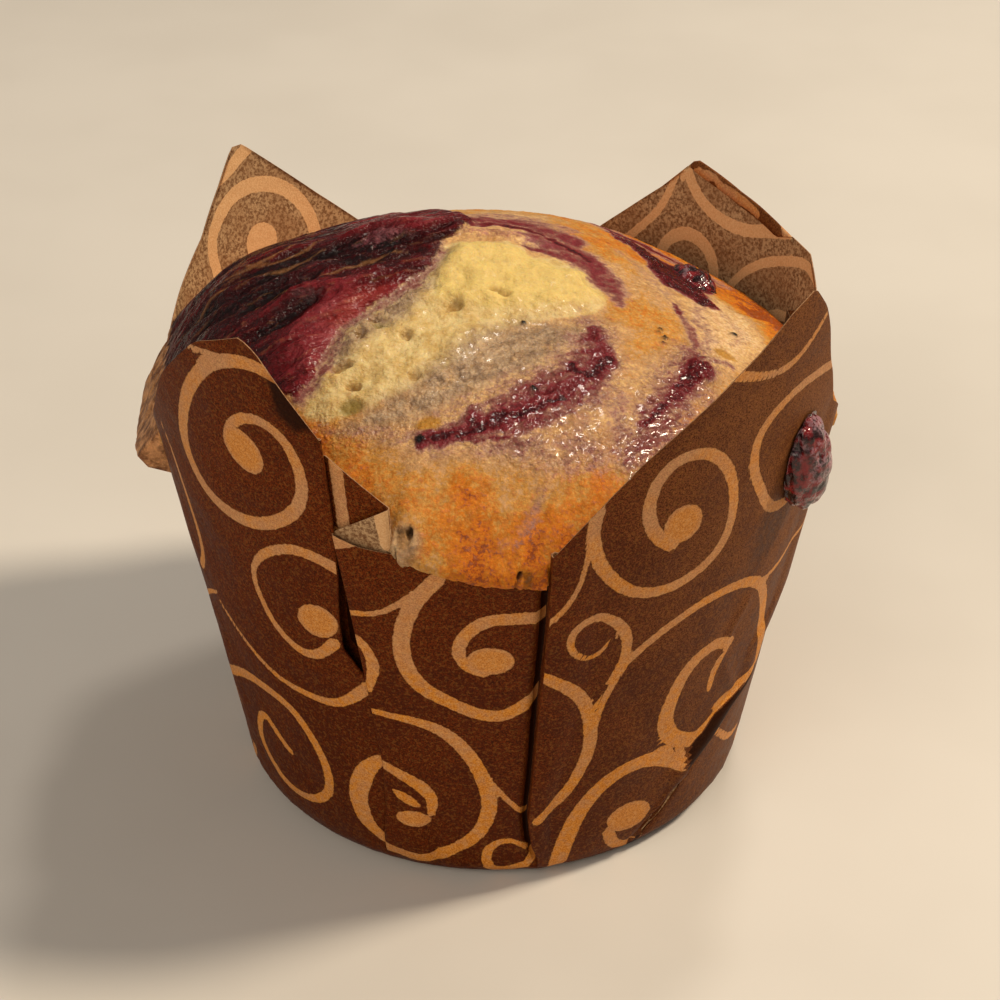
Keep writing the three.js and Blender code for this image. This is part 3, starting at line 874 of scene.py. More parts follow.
DARK_FOLDS = [
    [(-33, 0.5), (-29, -1), (-24.5, 0), (-20, 2.2), (-15, 3.2), (-9, 2.6), (-5, 3.8)],
    [(-31, -3), (-26.5, -3.4), (-22.5, -2.6), (-19.5, -1.5)],
    [(-29, 1.4), (-25, 2.2), (-21.5, 3), (-17.5, 5)],
    [(-25, -9), (-21.5, -6.6), (-19, -5.8)],
    [(-16, 0.4), (-12, 0.4), (-8, 1)],
]
PALE_RIDGES = [
    [(-24.5, -6), (-20, -3.9), (-16, -4.6), (-12.5, -2.6)],
    [(-22, -11.5), (-19.5, -9.4), (-16.8, -7.4), (-13.8, -5.8)],
    [(-18.5, 3.2), (-15.5, 5.6), (-12, 7), (-9, 6.4), (-5, 6.2)],
    [(-22.5, -13.5), (-20, -13), (-18.5, -15.5)],
]
RED_GLOW = [
    [(-18, -1.8), (-14, -0.6), (-10, 0.2), (-6.5, 2.2)], [(-36, 2), (-32, 3.5), (-28, 4.5), (-22, 5.5)],
    [(-10, -3.6), (-13, -6.4), (-16.5, -9.6)],
]
THREADS = [
    [(-28, 3.9), (-24, 3.3), (-21, 4.4), (-18.5, 7)], [(-26, 1.2), (-22, 1.5), (-18, 3.6)],
    [(-21, -2.4), (-17, -1.6), (-13, 0.4), (-9, 1.2)], [(-27, -5), (-23, -3.4), (-19, -2.2)],
    [(-31, 2.4), (-27, 3), (-23.5, 4.6), (-19.5, 8)], [(-33, -0.4), (-30, 1), (-27, 1.8)],
]
PALE_PATCHES = [
    [(-14.4, 3.8), (-12.8, 4.3), (-11.2, 4.4), (-9.4, 4)],
    [(-3.2, 5), (-0.2, 4.9), (1.9, 4.9), (4.1, 4.7), (6.2, 4.2)],
]
FRONT_VEIL = [
    (10.3, -8.6), (8.6, -12.6), (6.8, -16.2), (4.2, -18.4), (1.2, -20.8), (-1.4, -22.6), (-3.6, -24.4),
    (-7, -26.2), (-6.6, -27.2), (-2.7, -27.4), (-0.2, -27.1), (2.3, -26.9), (4.9, -26.1), (6.9, -24.7),
    (9.5, -22.4), (11.6, -19.8), (12.5, -17), (12.6, -13), (12.2, -9.6),
]
RIGHT_STREAK = [(21.2, -11.4), (19.8, -15.8), (17.8, -20.4), (15.8, -24), (13.8, -27.4)]
RIGHT_STREAK_WIDE = (3.6, 4.2, 4.0, 3.8, 2.2)
# Strokes of juice: line, width, depth from 0 to 1, and softness of the edge.
DARK_STROKES = [
    ([(11, -9.6), (11.4, -12.4), (11.5, -14.8), (10.7, -17), (8.8, -18.8), (6.4, -20.8), (3.9, -22.8),
      (1.4, -24.2), (-1.4, -25.3), (-3.8, -26.3), (-6.4, -26.9)], (1.6, 2.8, 2.8, 3.2, 3.0, 2.8, 2.2), 0.7,
     1.8),
    ([(10.9, -9.7), (11.2, -12)], 1.7, 0.8, 1.0),
    ([(11.9, -14.4), (11.1, -16.6), (9.4, -17.5), (8.3, -16.8)], 1.5, 0.95, 0.8),
    ([(8.6, -19.2), (6.6, -20.6), (4.8, -21.1)], 0.8, 0.82, 0.7),
    ([(6.8, -21.7), (4.4, -23.1), (2.2, -23.8), (0.2, -23.9)], 1.1, 0.95, 0.8),
    ([(1.2, -24.4), (-1.4, -25.2), (-3.6, -26.2), (-6.4, -26.9)], (1.5, 1.5, 1.3, 0.8), 0.92, 0.8),
    ([(-3.2, -27.1), (-1, -27), (1.4, -26.7)], 0.5, 0.7, 0.6),
    ([(10.4, -19.4), (8.6, -21.6)], 0.7, 0.7, 0.8),
    ([(21.4, -12.6), (20.1, -15.4), (18.7, -18.4)], (2.6, 2.2, 1.5), 0.86, 1.0),
    ([(18.7, -18.5), (17.2, -20.9), (15.8, -22.6)], 0.9, 0.9, 0.8),
    ([(16.6, -19.4), (15.4, -21.6)], 0.6, 0.7, 0.7),
    ([(6.3, 6), (7.6, 5.1), (9, 4.4), (10.6, 3.2)], (0.6, 1, 1.3, 0.6), 0.96, 0.7),
    ([(-2.6, 6.8), (0.8, 7.4), (3.4, 7.2), (6.4, 6.2)], 0.9, 0.9, 0.7),
    ([(7.4, 5.5), (10.6, 3.9), (12.5, 1.2), (13.4, -1.6)], (0.5, 1, 0.9, 0.5), 0.72, 0.9),
    ([(19, 13), (21.2, 11.8), (23, 9.8)], (3, 5, 3.4), 0.96, 0.9),
    ([(3.4, 2.7), (5.2, 2.7), (7.2, 2.1)], (0.6, 1.3, 0.8), 0.62, 0.9),
    ([(20, -0.1), (20.5, -2.2)], (0.5, 0.8), 0.8, 0.5),
    ([(-20, 22), (-11, 25), (-2, 30)], (1.2, 2.4, 0.8), 0.85, 1.2),
    ([(12, 24), (16, 19), (22, 18)], (0.8, 2, 1), 0.85, 1.2),
]
MAUVE_LINES = [
    ([(20.6, -2.3), (21.3, -5), (21.6, -7.4), (21.1, -10)], (0.8, 1.4, 1.3, 1), 0.42, 1.1),
    ([(6.4, -29), (5.8, -30.9), (4.5, -32.6), (3.7, -33.9), (2.6, -35.1), (1, -36)],
     (0.6, 0.8, 1.1, 1.6, 1.2, 0.6), 0.26, 1.6),
    ([(5.2, 4.9), (8.2, 4.1), (10.2, 2.8), (11.8, 0.6), (12.9, -1.6), (13.4, -3.8)],
     (3.4, 4.6, 5, 4.4, 3.4, 1.6), 0.54, 2.4),
    ([(-5.2, 2.2), (-6.5, -1.6), (-9.5, -5.8), (-12.6, -8.4), (-15.2, -10.3), (-16.8, -14), (-18, -17.5),
      (-19.8, -19.8)], (1, 1.6, 1.8, 1.6, 1.6, 2.2, 2.6, 2), 0.36, 1.8),
    ([(13.3, -19.8), (12.9, -23.8), (11.8, -27)], 2.6, 0.3, 2.6),
    ([(20.5, -11), (23, -10.4), (25, -10)], 1.2, 0.36, 1.2),
    ([(-17, -24), (-12, -25.6), (-8, -26.6)], (1.4, 2.4, 2.2), 0.24, 2.4),
    ([(22.6, 3), (22.5, -2), (23.2, -6), (22.6, -9.4)], 1.8, 0.3, 2.2),
    ([(25.5, 3), (27, -1.5), (26, -5.5)], 1.4, 0.24, 2.0),
    ([(10, -8.2), (8.4, -6.8)], 1.2, 0.22, 1.6),
    ([(-3, 8.6), (0.8, 9.6), (3.4, 9.4), (6.6, 8.2), (9, 7.4)], 3.4, 0.6, 2.6),
    ([(-4, 11.5), (0.5, 12.6), (4.5, 12.2), (8, 10.6)], 4.0, 0.3, 2.8),
    ([(-22, 20), (-11, 24), (0, 29), (8, 27)], 6, 0.34, 4.0),
    ([(10, 26), (16, 19), (25, 17)], 5, 0.36, 3.0),
    ([(14.2, 9.4), (16.4, 6.4), (18.4, 3.2), (20, -0.4)], 2.6, 0.2, 2.6),
    ([(-33, -12), (-29, -15), (-25, -19)], 3, 0.4, 3.0),
]
JAM_RIGHT = [(13.6, 18.4), (15.5, 16), (17, 14.4), (18.3, 11.8), (19.6, 8.8), (21.4, 6.4), (23.2, 4.4)]
CREAM = [(21.5, 2.5), (25, 8), (29, 3.5), (29.8, -2.5), (26.8, -8), (23.5, -11), (22.4, -8), (22.4, -2.5)]
# How far the top is baked, from 0 pale to 1 deep orange: x, y, value and the size of its share.
BAKED = [
    (9, 7.2, 0.78, 1.2), (12.2, 8.8, 0.72, 1.6), (13.6, 6.3, 0.75, 0.9), (14, 2.3, 0.34, 1.5),
    (16.5, 1.6, 0.34, 1.5), (18.5, 2.4, 0.3, 1.5), (-2.3, -31.4, 0.96, 1.1), (-9.6, -32.6, 0.7, 1.2),
    (-7.4, -35, 0.8, 0.9), (-8.2, -36.9, 0.34, 1.5), (-9.9, -35.3, 0.34, 1.1), (-6, -37.7, 0.5, 0.9),
    (-3, -37.4, 0.9, 1.2), (5.4, -35.4, 0.86, 1.5), (-1, -35.6, 0.92, 0.7), (1.5, -33.6, 0.62, 1.2),
    (-12.5, -25.4, 0.36, 1.3), (-15.4, -24.4, 0.4, 1.0), (-8.5, -25.4, 0.4, 1.4), (-17.6, -25.4, 0.8, 1.3),
    (-14.5, -28.5, 0.74, 2.5), (-9, -26, 0.5, 2.0), (-9, -28.8, 0.36, 1.5), (-5.2, -29.2, 0.28, 1.6),
    (-1.2, -29.4, 0.3, 1.6), (2.2, -29.2, 0.34, 1.6), (3, -27.2, 0.4, 1.6), (-10.5, -31.4, 0.6, 2),
    (-5.5, -31.6, 0.62, 1.8), (0, -31.6, 0.6, 2), (5, -31.4, 0.56, 2.4), (9, -29, 0.52, 2.6),
    (-3, -34.5, 0.72, 2.5), (3, -35.5, 0.8, 2.5), (0, -38, 0.95, 2.2), (5, -37.5, 0.98, 2.5),
    (-4.5, -37.8, 0.75, 1.8), (-12, -33.5, 0.55, 2), (12, -27, 0.56, 3), (11, -32, 0.85, 3),
    (6, -26.5, 0.4, 2.5), (12, -22.5, 0.36, 3), (15.5, -18, 0.38, 2.5), (16, -13, 0.42, 2.5),
    (14, -9, 0.45, 2), (17, -5, 0.72, 2.5), (18.5, -8, 0.66, 2), (16.5, -2.5, 0.66, 2), (15, 3, 0.4, 3),
    (17.5, 4.5, 0.4, 2.5), (20, 0, 0.45, 2.5), (24, -13, 0.42, 3), (24, -2, 0.16, 4), (25, 4, 0.2, 3),
    (27, -7, 0.3, 3), (29.5, 2, 0.86, 2), (31, 8, 1.3, 3), (29, 14, 0.9, 3), (32, 0, 0.8, 2.5),
    (26, 18, 0.85, 4), (8.5, 12.5, 0.8, 3), (0, 12, 0.22, 3), (4.5, 11.5, 0.24, 2.6), (1, 15, 0.26, 3.4),
    (7, 14, 0.36, 2.4), (13, 12.5, 0.7, 3), (18, 14, 0.8, 4), (0, 8, 0.3, 3), (5, 20, 0.5, 6),
    (-5, 24, 0.6, 6), (-16, 24, 0.75, 6), (14, 26, 0.85, 6), (0, 34, 0.9, 6), (30, -14, 0.6, 4),
    (27, -22, 0.7, 4), (20, -28, 0.75, 4), (-26, 18, 0.7, 5), (-30, 26, 0.8, 6), (-22, -26, 0.75, 4),
    (-12, -8, 0.35, 2), (-16.5, -14, 0.35, 2), (-19, -19, 0.4, 2), (0, -8, 0.3, 5), (8, -14, 0.36, 4),
    (-4, -22, 0.36, 3), (-34, -12, 0.6, 5),
]
OCHRE_SPOTS = [(-6.4, -24.9, 0.9), (25, -8.2, 0.8)]
OLIVE_SPOTS = [(-14.3, -22.2, 0.8), (-11.5, -11.2, 0.45)]
# Pits and deeper pores: x, y and size. They are dug into the relief, and the shade in them is painted dark.
SHADED_DEEP_PORES = [(-8, -35.7, 0.34), (2.6, -38.2, 0.26), (-6.8, -37.6, 0.2), (-9.3, -36.9, 0.16)]
SHADED_PITS = [
    (-15.5, -17, 0.8), (-13.6, -12.4, 0.4), (-9, -12.8, 0.5), (-3.9, -8.8, 0.6), (0.4, -6.6, 0.5),
    (1.2, -7.2, 0.35), (-12.4, -10.4, 0.45), (-8.6, -36.2, 0.7), (-8, -19, 0.5), (3.5, -38.4, 0.5),
    (-14, -19.5, 0.5),
]
SEEDS = [
    (-7.2, -26.8, 0.5), (4.3, -20.6, 0.42), (3.3, -10.5, 0.32), (17.9, -7.4, 0.26), (18.3, -8.8, 0.3),
    (26.2, -2.7, 0.42), (18.1, -9.8, 0.2), (17.6, -8.1, 0.18),
]


# Single places on the top.
LIP_CRUMB = (-8.4, -36.4)
DRUPELET = (21.8, -12.9)
BELOW_JUICE = {"at": (5.5, -26.6), "half": (8.5, 3.6)}
ASHEN_EDGE = -34.6  # x past which the jam is baked dry
DAMP_LINE = [(-17, -24), (-12, -25.4), (-7, -26)]
JAM_RIGHT_WIDE = (1, 2.2, 2.8, 3.4, 4.8, 5.6, 3.4)


def most(*masks):
    """The highest of several masks at each point."""
    return np.maximum.reduce(masks)


class Top:
    """Points on the top in plan and ways to draw on them. look: the named values that the material
    reads. shape: what the relief needs besides."""

    def __init__(self, x, y):
        self.x, self.y = x, y
        self.wavy_x = x + 0.8 * cloud(x, y, 4.5, 11, 3) + 0.3 * cloud(x, y, 1.4, 12, 3)
        self.wavy_y = y + 0.8 * cloud(x, y, 4.5, 13, 3) + 0.3 * cloud(x, y, 1.4, 14, 3)
        self.flow = self.drawn(24, 11, 1.6, 31, 3)
        self.fine_flow = self.drawn(21, 5.5, 0.6, 32, 2)
        self.mottle = cloud(x, y, 2.4, 33, 3)
        self.look, self.shape = {}, {}

    def noise(self, size, seed, octaves):
        return cloud(self.x, self.y, size, seed, octaves)

    def drawn(self, angle, length, width, seed, octaves):
        """Streaks at an angle in degrees."""
        return streaks(self.wavy_x, self.wavy_y, angle, length, width, seed, octaves)

    def inside(self, outline):
        """The distance inside an outline, on wavy ground."""
        return inside(self.wavy_x, self.wavy_y, outline)

    def line(self, points, width, soft=0.5, rough=0.0, seed=0):
        """A mask for a line of one width, or of several widths along it."""
        distance, _, share = to_line(self.wavy_x, self.wavy_y, curve_through(points, 4))
        half = (np.interp(share, np.linspace(0, 1, len(width)), width) if np.ndim(width) else width) / 2
        return smooth((half - distance + rough * self.noise(1.1, 70 + seed, 2)) / soft + 0.5)

    def lines(self, lines, width, soft):
        """A mask for several lines of the same widths."""
        return most(*[self.line(line, width, soft) for line in lines])

    def spots(self, places, soft=0.35, stretch=1.3):
        """A mask for spots (x, y, size), longer in x than in y."""
        return most(*[
            smooth((size - np.hypot((self.wavy_x - x) / stretch, self.wavy_y - y)) / soft + 0.5)
            for x, y, size in places
        ])


def draw_batter(top):
    """How far the batter and the crust are baked."""
    total, whole = 0.35 * 0.002, 0.002
    for x, y, value, size in BAKED:
        weight = np.exp(-((top.wavy_x - x) ** 2 + (top.wavy_y - y) ** 2) / (2 * size**2)) + 1e-9
        total, whole = total + weight * value, whole + weight
    bake = total / whole + 0.22 * top.mottle + 0.15 * top.noise(4.2, 36, 2) + 0.1 * top.noise(0.9, 34, 2)
    bake = bake + 0.14 * top.noise(7.0, 35, 2) * smooth((top.y - 8) / 6)
    cream = smooth(top.inside(CREAM) / 2.6 + 0.5)
    top.look["bake"] = mix(bake, 0.08 + 0.1 * top.mottle, 0.85 * cream)


def draw_crumb(top):
    """The torn crumb, yellow inside and grey at its edge."""
    in_crumb = top.inside(CRUMB)
    bright = smooth(top.inside(CRUMB_BRIGHT) / 3.0 + 0.5)
    grey = most(top.line(GREY_EDGE, (2.6, 4.2, 5.0, 4.2, 2.2), 2.6),
                top.line(GREY_BAND, (2, 6.4, 7.6, 6, 4, 2.4), 3.4))
    x, y = LIP_CRUMB
    lip_crumb = smooth(1.7 - np.hypot((top.x - x) / 1.3, top.y - y))
    top.look["crumb"] = smooth(in_crumb / 2.6 + 0.45)
    top.look["bright"] = np.clip(bright + 0.3 * top.mottle, 0, 1)
    top.look["grey"] = most(grey * smooth(0.9 + 0.7 * top.noise(1.8, 21, 3)), 0.8 * lip_crumb)
    top.shape.update(in_crumb=in_crumb, bright=bright, grey=grey, lip_crumb=lip_crumb)


def draw_jam(top):
    """The jam, with its tone from 0 almost black to 1 pale."""
    flow, fine_flow = top.flow, top.fine_flow
    ridges = top.lines(PALE_RIDGES, (0.8, 2.0, 2.4, 0.8), 2.8)
    folds = top.lines(DARK_FOLDS, (0.8, 2.6, 3.2, 1.4), 2.2)
    front = 0.44 * smooth((top.x + 25) / 8) * smooth((-2 - top.y) / 6)
    tone = 0.26 + 0.28 * flow + 0.1 * fine_flow + front
    tone = mix(tone, 0.6 + 0.26 * flow + 0.1 * fine_flow, 0.8 * ridges)
    tone = mix(tone, 0.05 + 0.1 * flow + 0.04 * fine_flow, 0.92 * folds)
    far = smooth((top.y - 5) / 2.5) * smooth((top.x + 18) / 5)
    threads = top.lines(THREADS, (0.1, 0.3, 0.36, 0.1), 0.25)
    top.look["jam"] = smooth(top.inside(JAM) / 1.5 + 0.5)
    top.look["tone"] = np.clip(mix(tone, 0.56 + 0.35 * flow, 0.7 * far), 0, 1)
    top.look["glow"] = top.lines(RED_GLOW, (1, 2.4, 2.4, 1.2), 2.6)
    top.look["thread"] = most(threads, smooth((fine_flow - 0.36) * 5) * 0.35)
    top.look["pale"] = top.lines(PALE_PATCHES, (0.8, 2.0, 1.8, 0.8), 2.4)
    top.shape.update(ridges=ridges, folds=folds)


def draw_juice(top):
    """Berry juice that has run into the batter, from 0 none to 1 deep, and what is wet."""
    look, shape = top.look, top.shape
    drawn = top.drawn(28, 3.2, 0.55, 41, 3)
    blotch = top.noise(1.5, 42, 3)
    in_veil = top.inside(FRONT_VEIL)
    veil = smooth((in_veil + 0.5 * blotch) / 2.2 + 0.42)
    streak = top.line(RIGHT_STREAK, RIGHT_STREAK_WIDE, 2.0, 0.7, 2)
    right = top.line(JAM_RIGHT, JAM_RIGHT_WIDE, 1.0, 0.5, 3)
    mauve = [deep * top.line(line, width, soft, 0.5, 4 + i)
             for i, (line, width, deep, soft) in enumerate(MAUVE_LINES)]
    dark = [top.line(line, width, soft, 0.6, 20 + i) * deep
            for i, (line, width, deep, soft) in enumerate(DARK_STROKES)]
    juice = most(*mauve) * (1 + 0.5 * blotch)
    juice = most(juice, veil * (0.5 + 0.26 * drawn + 0.2 * blotch))
    juice = most(juice, streak * (0.44 + 0.3 * drawn + 0.16 * blotch))
    juice = most(juice, most(*dark) * (1 + 0.16 * drawn + 0.16 * blotch), right * (0.92 + 0.2 * top.flow))
    x, y = DRUPELET
    drupelet = smooth(1.5 - np.hypot(top.x - x, top.y - y) / 1.5)
    juice = most(juice, 0.84 * drupelet)
    veil_halo = smooth((in_veil + 1.6) / 4.5 + 0.5)
    streak_halo = top.line(RIGHT_STREAK, [width + 3 for width in RIGHT_STREAK_WIDE], 3.0)
    (x, y), (long, short) = BELOW_JUICE["at"], BELOW_JUICE["half"]
    below = smooth(1.5 - np.hypot((top.x - x) / long, (top.y - y) / short))
    faint = most(0.34 * veil_halo, 0.32 * streak_halo, 0.34 * below)
    look["juice"] = np.clip(most(juice, faint * (0.8 + 0.9 * top.mottle)), 0, 1)
    damp = top.line(DAMP_LINE, 4, 3.0)
    around = most(veil_halo, streak_halo, below)
    wet = most(look["jam"], around, right, 0.8 * damp, 0.8 * shape["grey"], 0.35 * look["crumb"])
    look["wet"] = np.clip(wet, 0, 1) * (1 - 0.6 * shape["bright"]) * smooth((top.x + 38) / 6)
    shape.update(soaked=most(veil, streak, right), around=around, drupelet=drupelet)


def draw_specks(top):
    """The jam's dry edge, pits and pores dug in and painted dark for the shade in them, spots and seeds."""
    top.look["ashen"] = smooth((ASHEN_EDGE - top.x) / 2.4) * smooth((15 - np.abs(top.y + 1)) / 4)
    top.look["pit"] = top.spots(SHADED_PITS)
    top.look["pore"] = top.spots(SHADED_DEEP_PORES, 0.22, 1.1)
    top.look["ochre"] = top.spots(OCHRE_SPOTS)
    top.look["olive"] = top.spots(OLIVE_SPOTS, 0.8)
    seeds = [smooth((size - np.hypot(top.x - x, top.y - y)) / 0.16 + 0.5) for x, y, size in SEEDS]
    top.look["seed"] = most(*seeds)


def top_relief(top):
    """The top's relief in millimetres."""
    look, shape, noise = top.look, top.shape, top.noise
    puffs = 0.8 * noise(4.2, 51, 2) + 0.22 * noise(1.7, 52, 2) + 0.14 * noise(0.8, 53, 2)
    high = smooth((shape["in_crumb"] + 0.8) / 3.2) * (0.5 + 0.85 * shape["bright"] + puffs * look["crumb"])
    high = high - 0.75 * look["pit"] - 0.3 * look["olive"] - 1.2 * look["pore"]
    high = high + 0.3 * shape["lip_crumb"] * noise(0.9, 60, 2)
    torn = np.abs(top.drawn(22, 9, 2.6, 54, 2))
    ropes = 0.8 * shape["ridges"] + 0.7 * (0.4 - torn) + 0.14 * top.fine_flow - 0.8 * shape["folds"] + 0.45
    high = high + look["jam"] * (1 - look["crumb"]) * ropes
    wrinkles = 0.5 - np.abs(top.drawn(28, 2.0, 0.95, 56, 2)) * 2
    soaked = shape["soaked"]
    high = high + soaked * (0.1 + 0.3 * wrinkles) + 0.16 * wrinkles * shape["around"] * (1 - soaked)
    plain = 1 - most(look["crumb"], look["jam"])
    high = high + plain * (0.22 * noise(3.2, 57, 3) + 0.08 * noise(0.8, 58, 2))
    high = high + 0.4 * look["pale"] + 0.3 * look["seed"]
    return high + 0.9 * shape["drupelet"] * (1 + 0.3 * noise(1.0, 59, 2))


def top_values(x, y):
    """What the top shows at points in plan, as named values, and its relief in millimetres."""
    top = Top(x, y)
    for draw in (draw_batter, draw_crumb, draw_jam, draw_juice, draw_specks):
        draw(top)
    return top.look, top_relief(top)


# ---- the cake ----
CAKE_GRID = 296
SKIRT_RINGS = 5  # below the rim
RING_STEP = 0.2  # by which each ring starts wider than the last, as a share of the disc
RIM_FADE = 0.06  # share of the way in from the rim over which the relief reaches its height
LEAN = 0.75  # how far the relief points outwards near the rim
TORN_AZIMUTH = -101.5  # of the torn crumb in the lip
HIDDEN_FOOT = (20.0, 1.0)  # heights of the two lowest rings, which the wrap hides


def skirt_rings(azimuth, base, rim_radius, rim_height):
    """Radius and height of each ring below the rim: over the lip and down inside the wrap."""

    def wall(z):
        return base + TAPER * z

    share, hang, _, edge = overrun(azimuth)
    crumbly = smooth(2 - np.abs(azimuth - TORN_AZIMUTH) / 2.6)
    ragged = (0.6 + 0.9 * crumbly) * cloud(azimuth * 0.62, azimuth * 0.1, 1.3, 61, 4) - 0.3 * crumbly
    low = mix(rim_height - 1.2, edge - hang / np.maximum(share, 0.01) + ragged, share)
    middle, foot = (np.full(azimuth.shape, height) for height in HIDDEN_FOOT)
    return [
        (mix(rim_radius, wall(low) + 0.75 * share + 0.2, 0.35), mix(rim_height, low, 0.6)),
        (mix(wall(low) - 0.6, wall(low) + 0.55, share), low),
        (wall(low - 1) - 2.1, low - 0.4 * share - 0.9),
        (wall(middle) - 2.3, middle),
        (np.full(azimuth.shape, base - 3.5), foot),
    ]


def cake_disc():
    """A round disc of even squares with closed rings outside it, flat on the floor."""
    grid = {"x_subdivisions": CAKE_GRID, "y_subdivisions": CAKE_GRID, "size": 2}
    cake = start_piece("cake_top", bpy.ops.mesh.primitive_grid_add, **grid)
    co = points_of(cake)
    x, y = co[:, 0], co[:, 1]
    co[:, 0], co[:, 1] = x * np.sqrt(1 - y * y / 2), y * np.sqrt(1 - x * x / 2)
    cake.data.vertices.foreach_set("co", co.ravel())

    def add_skirt():
        bpy.ops.mesh.select_all(action="SELECT")
        bpy.ops.mesh.region_to_loop()
        for ring in range(SKIRT_RINGS):
            before = 1 + RING_STEP * ring
            bpy.ops.mesh.extrude_region_move()
            bpy.ops.transform.resize(value=((before + RING_STEP) / before,) * 2 + (1,))
        bpy.ops.mesh.edge_face_add()

    edit(cake, add_skirt)
    return cake


def build_cake(settings, base):
    """The cake: its torn, jam-streaked dome, and the body that the wrap hides."""
    cake = cake_disc()
    co = points_of(cake)
    azimuth = np.degrees(np.arctan2(co[:, 1], co[:, 0]))
    reach = np.hypot(co[:, 0], co[:, 1])
    ring = np.rint((reach - 1) / RING_STEP).astype(int)
    out = np.minimum(reach, 1)
    x, y, z = dome(azimuth, out, base, settings.crown_height / MM)
    look, high = top_values(x, y)
    a = np.radians(azimuth)
    slope = smooth((out - 0.55) / 0.45)
    lean = LEAN * slope
    x, y = x + np.cos(a) * high * lean, y + np.sin(a) * high * lean
    z = z + high * (1 - 0.55 * slope) * mix(0.4, 1, smooth((1 - out) / RIM_FADE))

    rings = skirt_rings(azimuth, base, np.hypot(x, y), z)
    for level, (radius, height) in enumerate(rings, start=1):
        here = ring == level
        radius = np.minimum(radius, paper_hold(azimuth, height, base) - 0.1 * level)
        x[here], y[here] = (radius * np.cos(a))[here], (radius * np.sin(a))[here]
        z[here] = height[here]
    move_points(cake, x, y, z)
    for name, value in look.items():
        write_value(cake, "top_" + name, value)
    edit(cake, lambda: bpy.ops.mesh.normals_make_consistent(inside=False))
    cake.data.materials.append(baked_cake(settings))
    hand_over(cake, "cake")


# ---- the berries ----
# Middle by azimuth, height and distance outside the wall, half axes, lean in degrees, and how much
# frost lies on the skin and on which side.
BERRIES = [
    {"name": "side_berry", "node": "berry_side", "azimuth": -33, "z": 50, "out": 0.9,
     "half": (3.1, 3.2, 6.3), "lean": 9, "frost": 0.92, "frost_side": (0.35, 0.6, 0.72)},
    {"name": "rim_berry", "node": "berry_rim", "azimuth": 29.2, "z": 51.9, "out": -12.0,
     "half": (2.8, 3.9, 2.8), "lean": 0, "frost": 0.5, "frost_side": (0, 0.2, 1)},
]
BEADS = 46
BEAD_SIZE = 0.36  # of a unit berry
SPREAD_STEPS = 12
PUSH = 0.02
WALL_CLEAR = 0.75  # least distance of a berry outside the wall


def on_unit(points):
    """Points brought to the unit sphere."""
    return points / np.linalg.norm(points, axis=1)[:, None]


def bead_places(seed):
    """Random places on the unit sphere that have pushed each other apart."""
    places = on_unit(np.random.default_rng(seed).normal(size=(BEADS, 3)))
    for _ in range(SPREAD_STEPS):
        apart = places[:, None] - places[None]
        gaps = np.linalg.norm(apart, axis=2) + 1e-6
        places = on_unit(places + PUSH * (apart / gaps[..., None] ** 3).sum(axis=1) / len(places) * 6)
    return places


def build_berry(berry, base, detail, skin):
    """A cooked berry: an oval lump of beads, partly burst."""
    sphere = bpy.ops.mesh.primitive_ico_sphere_add
    piece = start_piece(berry["name"], sphere, subdivisions=detail, radius=1)
    unit = on_unit(points_of(piece))
    places = bead_places(len(berry["name"]))
    nearest = np.linalg.norm(unit[:, None] - places[None], axis=2).min(axis=1)
    beads = np.sqrt(np.clip(1 - (nearest / BEAD_SIZE) ** 2, 0, 1))
    lumps = cloud(unit[:, 0] * 3 + unit[:, 2], unit[:, 1] * 3 - unit[:, 2], 0.9, 80, 3)
    p = unit * np.array(berry["half"]) * (0.84 + 0.15 * beads + 0.07 * lumps)[:, None]
    lean = math.radians(berry["lean"])
    rows = [[1, 0, 0], [0, math.cos(lean), math.sin(lean)], [0, -math.sin(lean), math.cos(lean)]]
    p = p @ np.array(rows)
    turn = math.radians(berry["azimuth"])
    c, s = math.cos(turn), math.sin(turn)
    radius = base + TAPER * berry["z"] + berry["out"]
    x, y = c * p[:, 0] - s * p[:, 1] + radius * c, s * p[:, 0] + c * p[:, 1] + radius * s
    z = p[:, 2] + berry["z"]
    if berry["out"] > 0:
        r = np.hypot(x, y)
        inner = base + TAPER * z + WALL_CLEAR
        push = np.where(r < inner, inner / r, 1.0)
        x, y = x * push, y * push
    move_points(piece, x, y, z)
    write_value(piece, "berry_bead", beads)
    write_value(piece, "berry_up", (unit @ np.array(berry["frost_side"]) + 1) / 2 * berry["frost"])
    piece.data.materials.append(skin)
    hand_over(piece, berry["node"])


# ---- materials ----
# Shades as hexadecimal numbers. A pair is mixed by grain or mottling, and a row of (place, shade)
# runs from the least to the most.
# Paler ink for the painted sheen on the right side, towards the key light.
SHEEN_INK = ("6E4020", "A87C50")
GREASY_INK = "3E1303"
INK_SPECKS = "A06A30"
